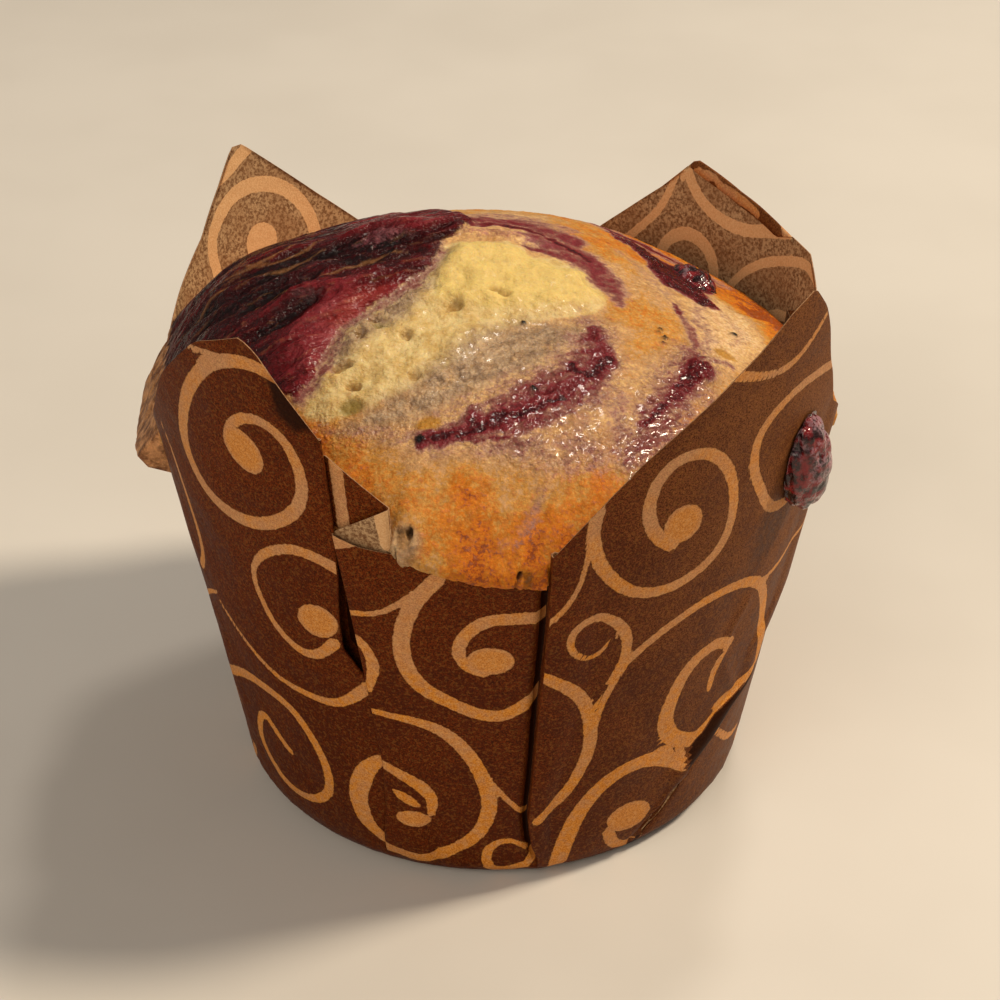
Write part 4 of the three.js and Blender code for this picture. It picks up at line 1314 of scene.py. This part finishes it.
# The dark of the grease stain, which also serves as painted shade in the folds, the groove and the slit.
STAIN_AND_SHADE_INK = "1E0801"
GREASY_BARE = ("B86812", "DA9136")
BARE_SPECKS = "DDB074"
STAIN_AND_SHADE_BARE = "8A4A14"
PRINT_EDGE = "46230A"
SHOWN_THROUGH = ("6A452A", "B8946C")
THROUGH_DRIFT, THROUGH_GRAIN = "80522E", "C2A078"
INSIDE_BARE = ("CC9A68", "DDB080")
CUT_EDGE = ("7A5232", "A87C54")
BAKE_SHADES = [
    (0.0, "D4B084"), (0.2, "C89E68"), (0.4, "B68A5C"), (0.56, "B9843C"), (0.76, "BC6E14"), (0.92, "B45E08"),
    (1.0, "8A3C04"),
]
GREY_BATTER = ("826852", "A88E72")
DULL_CRUMB = ("C09E5E", "D2B880")
LIGHT_CRUMB = "E6D098"
JUICE_SHADES = [
    (0.0, "AE8664"), (0.26, "9A7264"), (0.45, "7C4840"), (0.62, "70242A"), (0.8, "5E1216"), (1.0, "36040A"),
]
# Jam from almost black to pale. Where a shade is None, it is a share of the jam's own colour.
JAM_SHADES = [(0.0, "0E0203"), (0.2, None), (0.42, None), (0.62, "742026"), (0.8, "8A383C"), (1.0, "A4605C")]
OWN_JAM = [(0.2, 0.35), (0.42, 1.0)]
GLOW_SHADES = [(0.0, "1E0303"), (0.35, "5E0A07"), (0.7, "80230F"), (1.0, "A0583A")]
JAM_THREADS = "8E6038"
PALE_JAM = ("74343C", "A0646A")
DRY_JAM = ("6E4226", "BC8658")
# The first two paint the shade in pits and pores; ochre and olive are the top's own spots.
SPECKS = [("pit", 0.5, "8A5A10"), ("pore", 0.9, "2E1406"), ("ochre", 0.8, "A87418"), ("olive", 0.7, "6B5A12")]
SEED = "0E0707"
DEEP_SKIN, FROST, SKIN_GAP = "22040A", "B08A94", "0A0204"
JAM_GRAIN_TURN = 24  # degrees at which the jam's fibres run


def colour(hexadecimal):
    """A linear colour from a hexadecimal one."""
    parts = [int(hexadecimal[i : i + 2], 16) / 255 for i in (0, 2, 4)]
    return tuple(p / 12.92 if p <= 0.04045 else ((p + 0.055) / 1.055) ** 2.4 for p in parts) + (1.0,)


def scaled(shade, share):
    """A colour made darker or lighter."""
    return tuple(part * share for part in shade)


class Nodes:
    """Short ways to add and join shader nodes."""

    def __init__(self, tree):
        self.tree = tree

    def add(self, kind, inputs=None, **settings):
        node = self.tree.nodes.new(kind)
        for key, value in settings.items():
            setattr(node, key, value)
        for key, value in (inputs or {}).items():
            self.put(node.inputs[key], value)
        return node

    def put(self, socket, value):
        """Joins a socket to another or sets its value. A shade may be hexadecimal or lack its alpha."""
        if isinstance(value, bpy.types.NodeSocket):
            self.tree.links.new(value, socket)
        elif isinstance(value, str):
            socket.default_value = colour(value)
        elif isinstance(value, (tuple, list)) and len(value) == 3 and socket.type == "RGBA":
            socket.default_value = tuple(value) + (1.0,)
        else:
            socket.default_value = value

    def fill(self, inputs, **values):
        """Fills inputs by name, in which an underscore stands for a space."""
        for name, value in values.items():
            self.put(inputs[name.replace("_", " ")], value)

    def attribute(self, name):
        return self.add("ShaderNodeAttribute", attribute_name=name).outputs["Fac"]

    def place(self):
        return self.add("ShaderNodeTexCoord").outputs["Object"]

    def part(self, where, axis):
        return self.add("ShaderNodeSeparateXYZ", {0: where}).outputs[axis]

    def math(self, operation, a, b=0.0, clamp=False):
        node = self.add("ShaderNodeMath", {0: a, 1: b}, operation=operation, use_clamp=clamp)
        return node.outputs[0]

    def plus(self, a, b, clamp=False):
        return self.math("ADD", a, b, clamp)

    def times(self, a, b, clamp=False):
        return self.math("MULTIPLY", a, b, clamp)

    def fit(self, value, low, high, to_low=0.0, to_high=1.0, steps="SMOOTHSTEP"):
        """A value from low to high brought to another range, held at its ends."""
        ends = {"From Min": low, "From Max": high, "To Min": to_low, "To Max": to_high}
        node = self.add("ShaderNodeMapRange", {"Value": value, **ends}, interpolation_type=steps)
        return node.outputs[0]

    def even(self, value, low, high, to_low=0.0, to_high=1.0):
        """The same without a soft start and end."""
        return self.fit(value, low, high, to_low, to_high, "LINEAR")

    def noise(self, where, size, detail=2.0, roughness=0.5, distortion=0.0):
        """Noise with lumps of about size metres."""
        inputs = {"Vector": where, "Scale": 1 / size, "Detail": detail, "Roughness": roughness}
        node = self.add("ShaderNodeTexNoise", {**inputs, "Distortion": distortion})
        return node.outputs["Fac"]

    def blend(self, share, a, b, mode="MIX"):
        """The colour a with a share of b over it."""
        node = self.add("ShaderNodeMix", data_type="RGBA", blend_type=mode)
        self.put(node.inputs["Factor"], share)
        self.put(node.inputs[6], a)
        self.put(node.inputs[7], b)
        node.clamp_result = True
        return node.outputs[2]

    def ramp(self, value, shades):
        """A colour from a row of (place, shade)."""
        node = self.add("ShaderNodeValToRGB", {"Fac": value})
        node.color_ramp.interpolation = "EASE"
        steps = node.color_ramp.elements
        while len(steps) < len(shades):
            steps.new(0.5)
        for step, (place, shade) in zip(steps, shades):
            step.position = place
            step.color = colour(shade) if isinstance(shade, str) else (*shade, 1)
        return node.outputs["Color"]

    def drawn_out(self, where, turn, ratio):
        """Coordinates that draw a texture out along an angle in plan."""
        inputs = {"Vector": where, "Rotation": (0, 0, math.radians(turn)), "Scale": (ratio, 1, 1)}
        return self.add("ShaderNodeMapping", inputs, vector_type="TEXTURE").outputs[0]

    def bump(self, height, distance, strength=1.0, under=None):
        inputs = {"Height": height, "Distance": distance, "Strength": strength}
        if under is not None:
            inputs["Normal"] = under
        return self.add("ShaderNodeBump", inputs).outputs["Normal"]

    def group(self, tree, **inputs):
        node = self.add("ShaderNodeGroup", node_tree=tree)
        for key, value in inputs.items():
            self.put(node.inputs[key], value)
        return node.outputs


def new_group(name, inputs, outputs):
    """A node group with inputs (name, kind, default) and outputs that are numbers. If it is already
    there, only the group is returned."""
    if name in bpy.data.node_groups:
        return bpy.data.node_groups[name], None, None, None
    tree = bpy.data.node_groups.new(name, "ShaderNodeTree")
    for label, kind, default in inputs:
        socket = tree.interface.new_socket(label, in_out="INPUT", socket_type=kind)
        if default is not None:
            socket.default_value = default
    for label in outputs:
        tree.interface.new_socket(label, in_out="OUTPUT", socket_type="NodeSocketFloat")
    nodes = Nodes(tree)
    return tree, nodes, nodes.add("NodeGroupInput").outputs, nodes.add("NodeGroupOutput").inputs


WHERE = ("Vector", "NodeSocketVector", None)


def sized(size):
    """The inputs of a group whose pattern has a size in metres."""
    return [WHERE, ("Size", "NodeSocketFloat", size)]


def print_group():
    """Where the scrolls are printed, from the values on the sheet. The edge is slightly rough."""
    tree, n, given, made = new_group("Scroll print", [WHERE], ["Ink", "Edge"])
    if n:
        across, half, near, knob = (n.attribute(name) for name in PRINT_NAMES)
        line = n.math("SUBTRACT", n.math("ABSOLUTE", across), half)
        line = n.math("MAXIMUM", line, n.math("SUBTRACT", near, 0.14))
        shape = n.math("MINIMUM", line, knob)
        shape = n.plus(shape, n.even(n.noise(given["Vector"], 0.0006, 3), 0.3, 0.7, -0.07, 0.07))
        n.put(made["Ink"], n.fit(shape, 0.035, -0.035))
        n.put(made["Edge"], n.fit(n.math("ABSOLUTE", shape), 0.12, 0.0))
    return tree


def grain_group():
    """Fine, even grain with a few darker and lighter specks."""
    tree, n, given, made = new_group("Fine grain", sized(0.0002), ["Grain", "Specks"])
    if n:
        where, scale = given["Vector"], n.math("DIVIDE", 1.0, given["Size"])
        fine = n.add("ShaderNodeTexNoise", {"Vector": where, "Scale": scale, "Detail": 2.0})
        wide = n.times(scale, 0.45)
        coarse = n.add("ShaderNodeTexNoise", {"Vector": where, "Scale": wide, "Detail": 3.0})
        n.put(made["Grain"], n.even(fine.outputs["Fac"], 0.36, 0.64))
        n.put(made["Specks"], n.fit(coarse.outputs["Fac"], 0.5, 0.64))
    return tree


def cells_group():
    """Small soft cells side by side, as in wet crumb, and how light each place is."""
    tree, n, given, made = new_group("Crumb cells", sized(0.0005), ["Cells", "Light"])
    if n:
        where, scale = given["Vector"], n.math("DIVIDE", 1.0, given["Size"])
        wide = n.times(scale, 0.8)
        wobble = n.add("ShaderNodeTexNoise", {"Vector": where, "Scale": wide, "Detail": 2.0})
        shift = {0: wobble.outputs["Color"], "Scale": n.times(given["Size"], 1.6)}
        shifted = n.add("ShaderNodeVectorMath", shift, operation="SCALE").outputs[0]
        at = n.add("ShaderNodeVectorMath", {0: where, 1: shifted}, operation="ADD").outputs[0]
        inputs = {"Vector": at, "Scale": scale, "Smoothness": 0.6}
        cells = n.add("ShaderNodeTexVoronoi", inputs, feature="SMOOTH_F1").outputs["Distance"]
        narrow = n.times(scale, 2.2)
        fine = n.add("ShaderNodeTexNoise", {"Vector": where, "Scale": narrow, "Detail": 3.0})
        n.put(made["Cells"], n.fit(cells, 0.75, 0.05))
        by_cell = n.times(n.fit(cells, 0.7, 0.1), 0.5)
        n.put(made["Light"], n.plus(by_cell, n.times(n.fit(fine.outputs["Fac"], 0.3, 0.7), 0.5)))
    return tree


def new_material(name):
    """A material, its nodes and the inputs of its Principled shader."""
    material = bpy.data.materials.new(name)
    material.use_nodes = True
    material.node_tree.nodes.clear()
    n = Nodes(material.node_tree)
    shader = n.add("ShaderNodeBsdfPrincipled")
    out = n.add("ShaderNodeOutputMaterial")
    n.put(out.inputs["Surface"], shader.outputs[0])
    return material, n, shader.inputs


def grease(n, where):
    """Where fat from the cake has soaked the paper: more near the foot, and in drifting patches."""
    low = n.even(n.part(where, "Z"), 0.056, 0.014)
    patch = n.fit(n.noise(where, 0.008, 3, 0.55), 0.4, 0.6)
    mottle = n.fit(n.noise(where, 0.0009, 3, 0.62), 0.36, 0.62)
    amount = n.plus(n.times(low, 0.7), n.times(patch, 0.65))
    return n.times(amount, n.plus(n.times(mottle, 0.6), 0.4), clamp=True)


def printed_paper(paper, bare):
    """The outside: brown ink all over but for the scrolls, which show the bare paper."""
    material, n, shader = new_material("printed_paper")
    where = n.place()
    ink = n.group(print_group(), Vector=where)
    grain = n.group(grain_group(), Vector=where, Size=0.00016)
    soaked = grease(n, where)
    dark = n.blend(grain["Grain"], scaled(paper, 0.4), scaled(paper, 1.8))
    # Painted sheen: the ink turns paler towards the right, the side that the key light catches.
    lit_side = n.fit(n.part(where, "X"), 0.0, 0.03)
    dark = n.blend(n.times(lit_side, 0.35), dark, n.blend(grain["Grain"], *SHEEN_INK))
    dark = n.blend(n.times(soaked, 0.62), dark, GREASY_INK)
    dark = n.blend(n.times(grain["Specks"], 0.2), dark, INK_SPECKS)
    # Dark of the grease stain on the front left flap, and painted shade in the open fold, the groove and the
    # slit.
    from_stain = n.plus(n.attribute("stain"), n.fit(n.noise(where, 0.0024, 3), 0.3, 0.7, -0.6, 0.6))
    stain = n.fit(from_stain, 3.1, 1.3)
    dark = n.blend(n.times(stain, 0.9), dark, STAIN_AND_SHADE_INK)
    tan = n.blend(grain["Grain"], scaled(bare, 0.76), scaled(bare, 1.2))
    ends = n.fit(n.attribute("print_knob"), 0.3, -0.8, 0.0, 0.75)
    greasy = n.math("MAXIMUM", soaked, ends)
    tan = n.blend(n.times(greasy, 0.9), tan, n.blend(grain["Grain"], *GREASY_BARE))
    tan = n.blend(n.times(grain["Specks"], 0.25), tan, BARE_SPECKS)
    tan = n.blend(n.times(stain, 0.6), tan, STAIN_AND_SHADE_BARE)
    paint = n.blend(ink["Ink"], dark, tan)
    paint = n.blend(n.times(ink["Edge"], 0.35), paint, PRINT_EDGE)
    n.fill(shader, Base_Color=paint, Roughness=n.even(soaked, 0, 1, 0.6, 0.42), Specular_IOR_Level=0.05)
    fibres = n.bump(grain["Grain"], 0.00002, 0.4)
    n.fill(shader, Normal=n.bump(n.noise(where, 0.0045, 3), 0.0004, 0.55, fibres))
    return material


def paper_inside():
    """The inside, where the print shows through the sheet."""
    material, n, shader = new_material("paper_inside")
    where = n.place()
    ink = n.group(print_group(), Vector=where)
    grain = n.group(grain_group(), Vector=where, Size=0.00018)
    blotch = n.fit(n.noise(where, 0.00042, 4, 0.7), 0.4, 0.6)
    drift = n.fit(n.noise(where, 0.005, 2), 0.38, 0.62)
    through = n.blend(blotch, *SHOWN_THROUGH)
    through = n.blend(n.times(drift, 0.4), through, THROUGH_DRIFT)
    through = n.blend(n.times(grain["Grain"], 0.2), through, THROUGH_GRAIN)
    clear = n.blend(grain["Grain"], *INSIDE_BARE)
    n.fill(shader, Base_Color=n.blend(ink["Ink"], through, clear), Roughness=0.6, Specular_IOR_Level=0.1)
    buckle = n.noise(where, 0.003, 3)
    n.fill(shader, Normal=n.bump(buckle, 0.0003, 0.5, n.bump(grain["Grain"], 0.00003, 0.5)))
    return material


def paper_cut():
    """The sheet's cut edge, paler than its faces."""
    material, n, shader = new_material("paper_cut_edge")
    grain = n.group(grain_group(), Vector=n.place(), Size=0.0003)
    n.fill(shader, Base_Color=n.blend(grain["Grain"], *CUT_EDGE), Roughness=0.75)
    return material


class CakeNodes(Nodes):
    """Nodes of the cake's material, with the noises that break up what is drawn on the top."""

    def __init__(self, tree):
        super().__init__(tree)
        self.where = where = self.place()
        self.rough = self.even(self.noise(where, 0.0008, 4, 0.6), 0.3, 0.7, -0.5, 0.5)
        self.fine = self.even(self.noise(where, 0.0004, 3, 0.6), 0.3, 0.7, -0.5, 0.5)
        self.grain = self.group(grain_group(), Vector=where, Size=0.00024)["Grain"]
        self.cells = self.group(cells_group(), Vector=where, Size=0.00046)
        self.mottle = self.fit(self.noise(where, 0.0014, 4, 0.6), 0.35, 0.65)
        along_jam = self.drawn_out(where, JAM_GRAIN_TURN, 5)
        self.fibre = self.even(self.noise(along_jam, 0.0007, 3, 0.5), 0.3, 0.7, -0.5, 0.5)

    def value(self, name, by_rough=0.0, by_fine=0.0, by_fibre=0.0):
        """What is drawn on the top under a name, broken up by shares of the noises."""
        out = self.attribute("top_" + name)
        for noise, share in ((self.rough, by_rough), (self.fine, by_fine), (self.fibre, by_fibre)):
            if share:
                out = self.plus(out, self.times(noise, share))
        return out

    def mask(self, name, by_rough=0.3, by_fine=0.12):
        return self.fit(self.value(name, by_rough, by_fine), 0.3, 0.7)

    def mottled(self, pair):
        return self.blend(self.mottle, *pair)


def batter_paint(n, crumb_colour):
    """Batter and crust by how far they are baked, with the torn crumb over them."""
    paint = n.ramp(n.value("bake", 0.2, 0.22), BAKE_SHADES)
    grey = n.mottled(GREY_BATTER)
    crumb = n.mottled(DULL_CRUMB)
    bright = n.mask("bright", 0.3, 0.2)
    crumb = n.blend(bright, crumb, n.mottled((scaled(crumb_colour, 0.9), crumb_colour)))
    crumb = n.blend(n.times(n.grain, 0.16), crumb, LIGHT_CRUMB)
    paint = n.blend(n.mask("crumb"), paint, crumb)
    return n.blend(n.times(n.value("grey", 0.25, 0.2), 0.95, clamp=True), paint, grey)


def jam_paint(n, jam_colour):
    """The jam by its tone, with a red glow and threads of fruit."""
    tone = n.value("tone", 0.1, 0.04, 0.16)
    own = {place: scaled(jam_colour, share) for place, share in OWN_JAM}
    jam = n.ramp(tone, [(place, own.get(place, shade)) for place, shade in JAM_SHADES])
    jam = n.blend(n.times(n.attribute("top_glow"), 0.5), jam, n.ramp(tone, GLOW_SHADES))
    thread = n.times(n.attribute("top_thread"), 0.6)
    return n.blend(n.math("MAXIMUM", thread, n.fit(n.fibre, 0.34, 0.5, 0, 0.16)), jam, JAM_THREADS)


def cake_paint(n, settings):
    """All colours of the cake, laid over each other."""
    paint = batter_paint(n, tuple(settings.crumb_colour))
    juice = n.value("juice", 0.12, 0.12, 0.12)
    paint = n.blend(n.fit(juice, 0.04, 0.42), paint, n.ramp(juice, JUICE_SHADES))
    jam = jam_paint(n, tuple(settings.jam_colour))
    paint = n.blend(n.mask("jam"), paint, jam)
    pale = n.fit(n.value("pale", 0.6, 0.4), 0.3, 1.1, 0, 0.55)
    paint = n.blend(pale, paint, n.mottled(PALE_JAM))
    paint = n.blend(n.mask("ashen"), paint, n.mottled(DRY_JAM))
    # Spots, with painted shade in the pits and pores.
    for name, share, shade in SPECKS:
        paint = n.blend(n.times(n.attribute("top_" + name), share), paint, shade)
    paint = n.blend(n.attribute("top_seed"), paint, SEED)
    light = n.plus(n.times(n.cells["Light"], 0.7), n.times(n.mottle, 0.3))
    light = n.even(light, 0, 1, 0.3, 0.72)
    off_jam = n.fit(n.mask("jam"), 0, 1, 0.7, 0.15)
    texture = n.math("SUBTRACT", off_jam, n.times(n.mask("crumb"), 0.55), clamp=True)
    return n.blend(texture, paint, light, "OVERLAY")


def cake_bump(n, wet, in_jam):
    """Wet folds and pebbles, and dry crumbs."""
    soft_wet = n.times(wet, n.even(in_jam, 0, 1, 1.0, 0.65))
    folds = n.times(n.noise(n.where, 0.00058, 1.5, 0.5, 0.3), soft_wet)
    folds = n.plus(folds, n.times(n.times(n.fibre, in_jam), 0.55))
    crumbs = n.noise(n.where, 0.00065, 4, 0.6)
    dry = n.times(n.even(wet, 0, 1, 1.0, 0.35), n.even(n.mask("crumb"), 0, 1, 1.0, 0.25))
    normal = n.bump(folds, 0.00056, 0.9)
    normal = n.bump(n.times(crumbs, dry), 0.00024, 0.8, normal)
    pebbles = n.times(n.cells["Cells"], n.even(soft_wet, 0, 1, 0.25, 1.0))
    return n.bump(pebbles, 0.00012, 0.7, normal)


def baked_cake(settings):
    """Batter from pale to deeply baked, torn crumb, jam and the juice that has run out of it."""
    material, plain, shader = new_material("baked_cake")
    n = CakeNodes(plain.tree)
    n.fill(shader, Base_Color=cake_paint(n, settings), Specular_IOR_Level=0.18)
    wet = n.plus(n.attribute("top_wet"), n.times(n.rough, 0.35), clamp=True)
    grazing = n.add("ShaderNodeLayerWeight", {"Blend": 0.5}).outputs["Facing"]
    n.fill(shader, Roughness=n.even(wet, 0, 1, 0.6, 0.16))
    in_jam = n.mask("jam")
    coated = n.times(wet, n.even(in_jam, 0, 1, 1.0, 0.35))
    coat = n.times(coated, n.fit(grazing, 0.4, 0.85, 0.3, 0.02))
    n.fill(shader, Coat_Weight=coat, Coat_Roughness=0.1)
    n.fill(shader, Subsurface_Weight=0.35, Subsurface_Radius=(1.0, 0.6, 0.3), Subsurface_Scale=0.0018)
    n.fill(shader, Normal=cake_bump(n, wet, in_jam))
    return material


def cooked_berry(red):
    """Dark wet skin, dull and frosted on top, darker between its lumps."""
    material, n, shader = new_material("cooked_berry")
    where = n.place()
    grain = n.group(grain_group(), Vector=where, Size=0.00025)
    blotch = n.fit(n.noise(where, 0.0013, 3), 0.4, 0.62)
    skin = n.blend(blotch, DEEP_SKIN, red)
    upwards = n.attribute("berry_up")
    frosty = n.plus(upwards, n.even(n.noise(where, 0.0016, 4), 0.3, 0.7, -0.4, 0.4))
    frosted = n.times(n.fit(frosty, 0.45, 0.9), n.fit(n.noise(where, 0.0004, 3), 0.4, 0.58))
    skin = n.blend(n.times(frosted, 0.62), skin, FROST)
    gap = n.fit(n.attribute("berry_bead"), 0.45, 0.05)
    skin = n.blend(n.times(gap, 0.7), skin, SKIN_GAP)
    n.fill(shader, Base_Color=skin, Roughness=n.even(frosted, 0, 1, 0.2, 0.55), Specular_IOR_Level=0.15)
    n.fill(shader, Coat_Weight=0.7, Coat_Roughness=0.08)
    wrinkles = n.noise(where, 0.0005, 4, 0.6)
    n.fill(shader, Normal=n.bump(wrinkles, 0.0002, 0.8, n.bump(grain["Grain"], 0.00006, 0.6)))
    return material


# ---- the stage ----
FLOOR_SIZE = 6
FLOOR_SHADES = ((0.62, 0.58, 0.53), (0.66, 0.62, 0.57))
ROOM_SHADE = (1.0, 0.93, 0.84, 1)
AIM_HEIGHT = 0.03  # above the floor, at which the lights point
# Lights by name: place, size, setting that holds the power, and tint.
LIGHTS = {
    "Key": ((0.49, 0.045, 0.63), 0.13, "key_power", (1.0, 0.86, 0.66)),
    "Fill": ((-0.36, -0.6, 0.52), 0.7, "fill_power", (1.0, 0.9, 0.76)),
    "Top": ((0.18, 0.26, 0.72), 0.09, "top_power", (1.0, 0.92, 0.8)),
}
SENSOR_WIDTH = 36  # millimetres


def build_floor():
    """A large pale floor."""
    floor = start_piece("floor", bpy.ops.mesh.primitive_plane_add, size=FLOOR_SIZE)
    material, n, shader = new_material("pale_floor")
    cloudy = n.fit(n.noise(n.place(), 0.05, 3), 0.3, 0.7)
    n.fill(shader, Base_Color=n.blend(cloudy, *FLOOR_SHADES), Roughness=0.7)
    floor.data.materials.append(material)


def build_stage(settings):
    """The floor, soft lights and the camera."""
    build_floor()
    world = bpy.data.worlds.new("Studio")
    world.use_nodes = True
    room = world.node_tree.nodes["Background"].inputs
    room["Color"].default_value = ROOM_SHADE
    room["Strength"].default_value = settings.room_light
    bpy.context.scene.world = world

    for name, (place, size, power, tint) in LIGHTS.items():
        bpy.ops.object.light_add(type="AREA", location=place)
        light = bpy.context.object
        light.name = name
        light.data.shape = "DISK"
        light.data.size = size
        light.data.energy = getattr(settings, power)
        light.data.color = tint
        x, y, z = place
        light.rotation_euler = (0, math.atan2(math.hypot(x, y), z - AIM_HEIGHT), math.atan2(y, x))

    tilt = (math.pi / 2 - settings.camera_pitch, 0, 0)
    bpy.ops.object.camera_add(location=settings.camera_place, rotation=tilt)
    camera = bpy.context.object
    camera.data.lens = settings.camera_lens
    camera.data.sensor_width = SENSOR_WIDTH
    camera.data.clip_start = 0.01
    bpy.context.scene.camera = camera
    bpy.context.scene.view_settings.view_transform = "Standard"


# ---- the add-on ----
def number(name, description, default, **settings):
    """A setting that holds one number."""
    return bpy.props.FloatProperty(name=name, description=description, default=default, **settings)


def length(name, description, default, **settings):
    """A setting in metres."""
    return number(name, description, default, unit="LENGTH", subtype="DISTANCE", **settings)


def shade(name, description, hexadecimal):
    """A setting that holds a colour."""
    limits = {"size": 3, "min": 0, "max": 1, "subtype": "COLOR"}
    default = colour(hexadecimal)[:3]
    return bpy.props.FloatVectorProperty(name=name, description=description, default=default, **limits)


class WrapSettings(bpy.types.PropertyGroup):
    """The tulip wrap"""

    base_radius: length("Base radius", "Radius of the wrap's wall at the table", 0.029)
    paper: length("Paper", "Thickness of the paper", 0.00013, precision=5)
    ink_colour: shade("Ink", "Colour of the printed paper", "572306")
    bare_colour: shade("Bare paper", "Colour of the scrolls, which are left bare", "B8835A")
    mesh_spacing: length("Mesh spacing", "Distance between columns of the sheet", 0.00061, precision=5)


class CakeSettings(bpy.types.PropertyGroup):
    """The cake"""

    crown_height: length("Crown height", "Height of the dome above the table", 0.0613)
    crumb_colour: shade("Crumb", "Colour of the torn crumb", "D5B76C")
    jam_colour: shade("Jam", "Colour of the jam where it is neither thin nor deep", "520A0F")


class BerrySettings(bpy.types.PropertyGroup):
    """The berries"""

    skin_colour: shade("Skin", "Colour of the berries' skin", "7A1016")
    detail: bpy.props.IntProperty(
        name="Detail", description="Subdivisions of each berry", default=6, min=3, max=7
    )


class StageSettings(bpy.types.PropertyGroup):
    """The lights and the camera"""

    key_power: number("Key light", "Power of the light on the right", 5.4, unit="POWER")
    fill_power: number("Fill light", "Power of the soft light on the left", 3.2, unit="POWER")
    top_power: number(
        "Top light", "Power of the small light overhead, which makes wet places sparkle", 1.1, unit="POWER"
    )
    room_light: number("Room light", "Strength of the light from all round", 0.2)
    camera_place: bpy.props.FloatVectorProperty(
        name="Camera place", description="Where the camera stands", default=(0.00085, -0.24335, 0.18945),
        unit="LENGTH", subtype="TRANSLATION"
    )
    camera_pitch: number(
        "Camera pitch", "How far the camera looks down", math.radians(33), unit="ROTATION", subtype="ANGLE"
    )
    camera_lens: number("Lens", "Focal length in millimetres", 91.476)


class MUFFIN_OT_wrap(bpy.types.Operator):
    """Fold and print the tulip wrap"""

    bl_idname = "muffin.wrap"
    bl_label = "Tulip wrap"

    def execute(self, context):
        build_wrap(context.scene.muffin_wrap)
        return {"FINISHED"}


class MUFFIN_OT_cake(bpy.types.Operator):
    """Bake the cake with its torn, jam-streaked top"""

    bl_idname = "muffin.cake"
    bl_label = "Cake"

    def execute(self, context):
        build_cake(context.scene.muffin_cake, context.scene.muffin_wrap.base_radius / MM)
        return {"FINISHED"}


class MUFFIN_OT_berries(bpy.types.Operator):
    """Add the berry at the rim of the top and the one on the wrap's side"""

    bl_idname = "muffin.berries"
    bl_label = "Berries"

    def execute(self, context):
        settings = context.scene.muffin_berries
        base = context.scene.muffin_wrap.base_radius / MM
        skin = cooked_berry(tuple(settings.skin_colour))
        for berry in BERRIES:
            build_berry(berry, base, settings.detail, skin)
        return {"FINISHED"}


class MUFFIN_OT_stage(bpy.types.Operator):
    """Set up the floor, the lights and the camera"""

    bl_idname = "muffin.stage"
    bl_label = "Stage"

    def execute(self, context):
        build_stage(context.scene.muffin_stage)
        return {"FINISHED"}


class MUFFIN_PT_panel(bpy.types.Panel):
    """The muffin's pieces and their sizes"""

    bl_idname = "MUFFIN_PT_panel"
    bl_label = "Muffin"
    bl_space_type = "VIEW_3D"
    bl_region_type = "UI"
    bl_category = "Muffin"

    def draw(self, context):
        for group, operator in zip(GROUPS, OPERATORS):
            box = self.layout.box()
            settings = getattr(context.scene, group)
            for key in settings.__annotations__:
                box.prop(settings, key)
            box.operator(operator.bl_idname)


GROUPS = {
    "muffin_wrap": WrapSettings,
    "muffin_cake": CakeSettings,
    "muffin_berries": BerrySettings,
    "muffin_stage": StageSettings,
}
OPERATORS = (MUFFIN_OT_wrap, MUFFIN_OT_cake, MUFFIN_OT_berries, MUFFIN_OT_stage)
CLASSES = (*GROUPS.values(), *OPERATORS, MUFFIN_PT_panel)


def register():
    for cls in CLASSES:
        bpy.utils.register_class(cls)
    for name, group in GROUPS.items():
        setattr(bpy.types.Scene, name, bpy.props.PointerProperty(type=group))


def unregister():
    for name in GROUPS:
        delattr(bpy.types.Scene, name)
    for cls in reversed(CLASSES):
        bpy.utils.unregister_class(cls)


def main():
    register()
    bpy.ops.muffin.stage()
    bpy.ops.muffin.wrap()
    bpy.ops.muffin.cake()
    bpy.ops.muffin.berries()


if __name__ == "__main__":
    main()
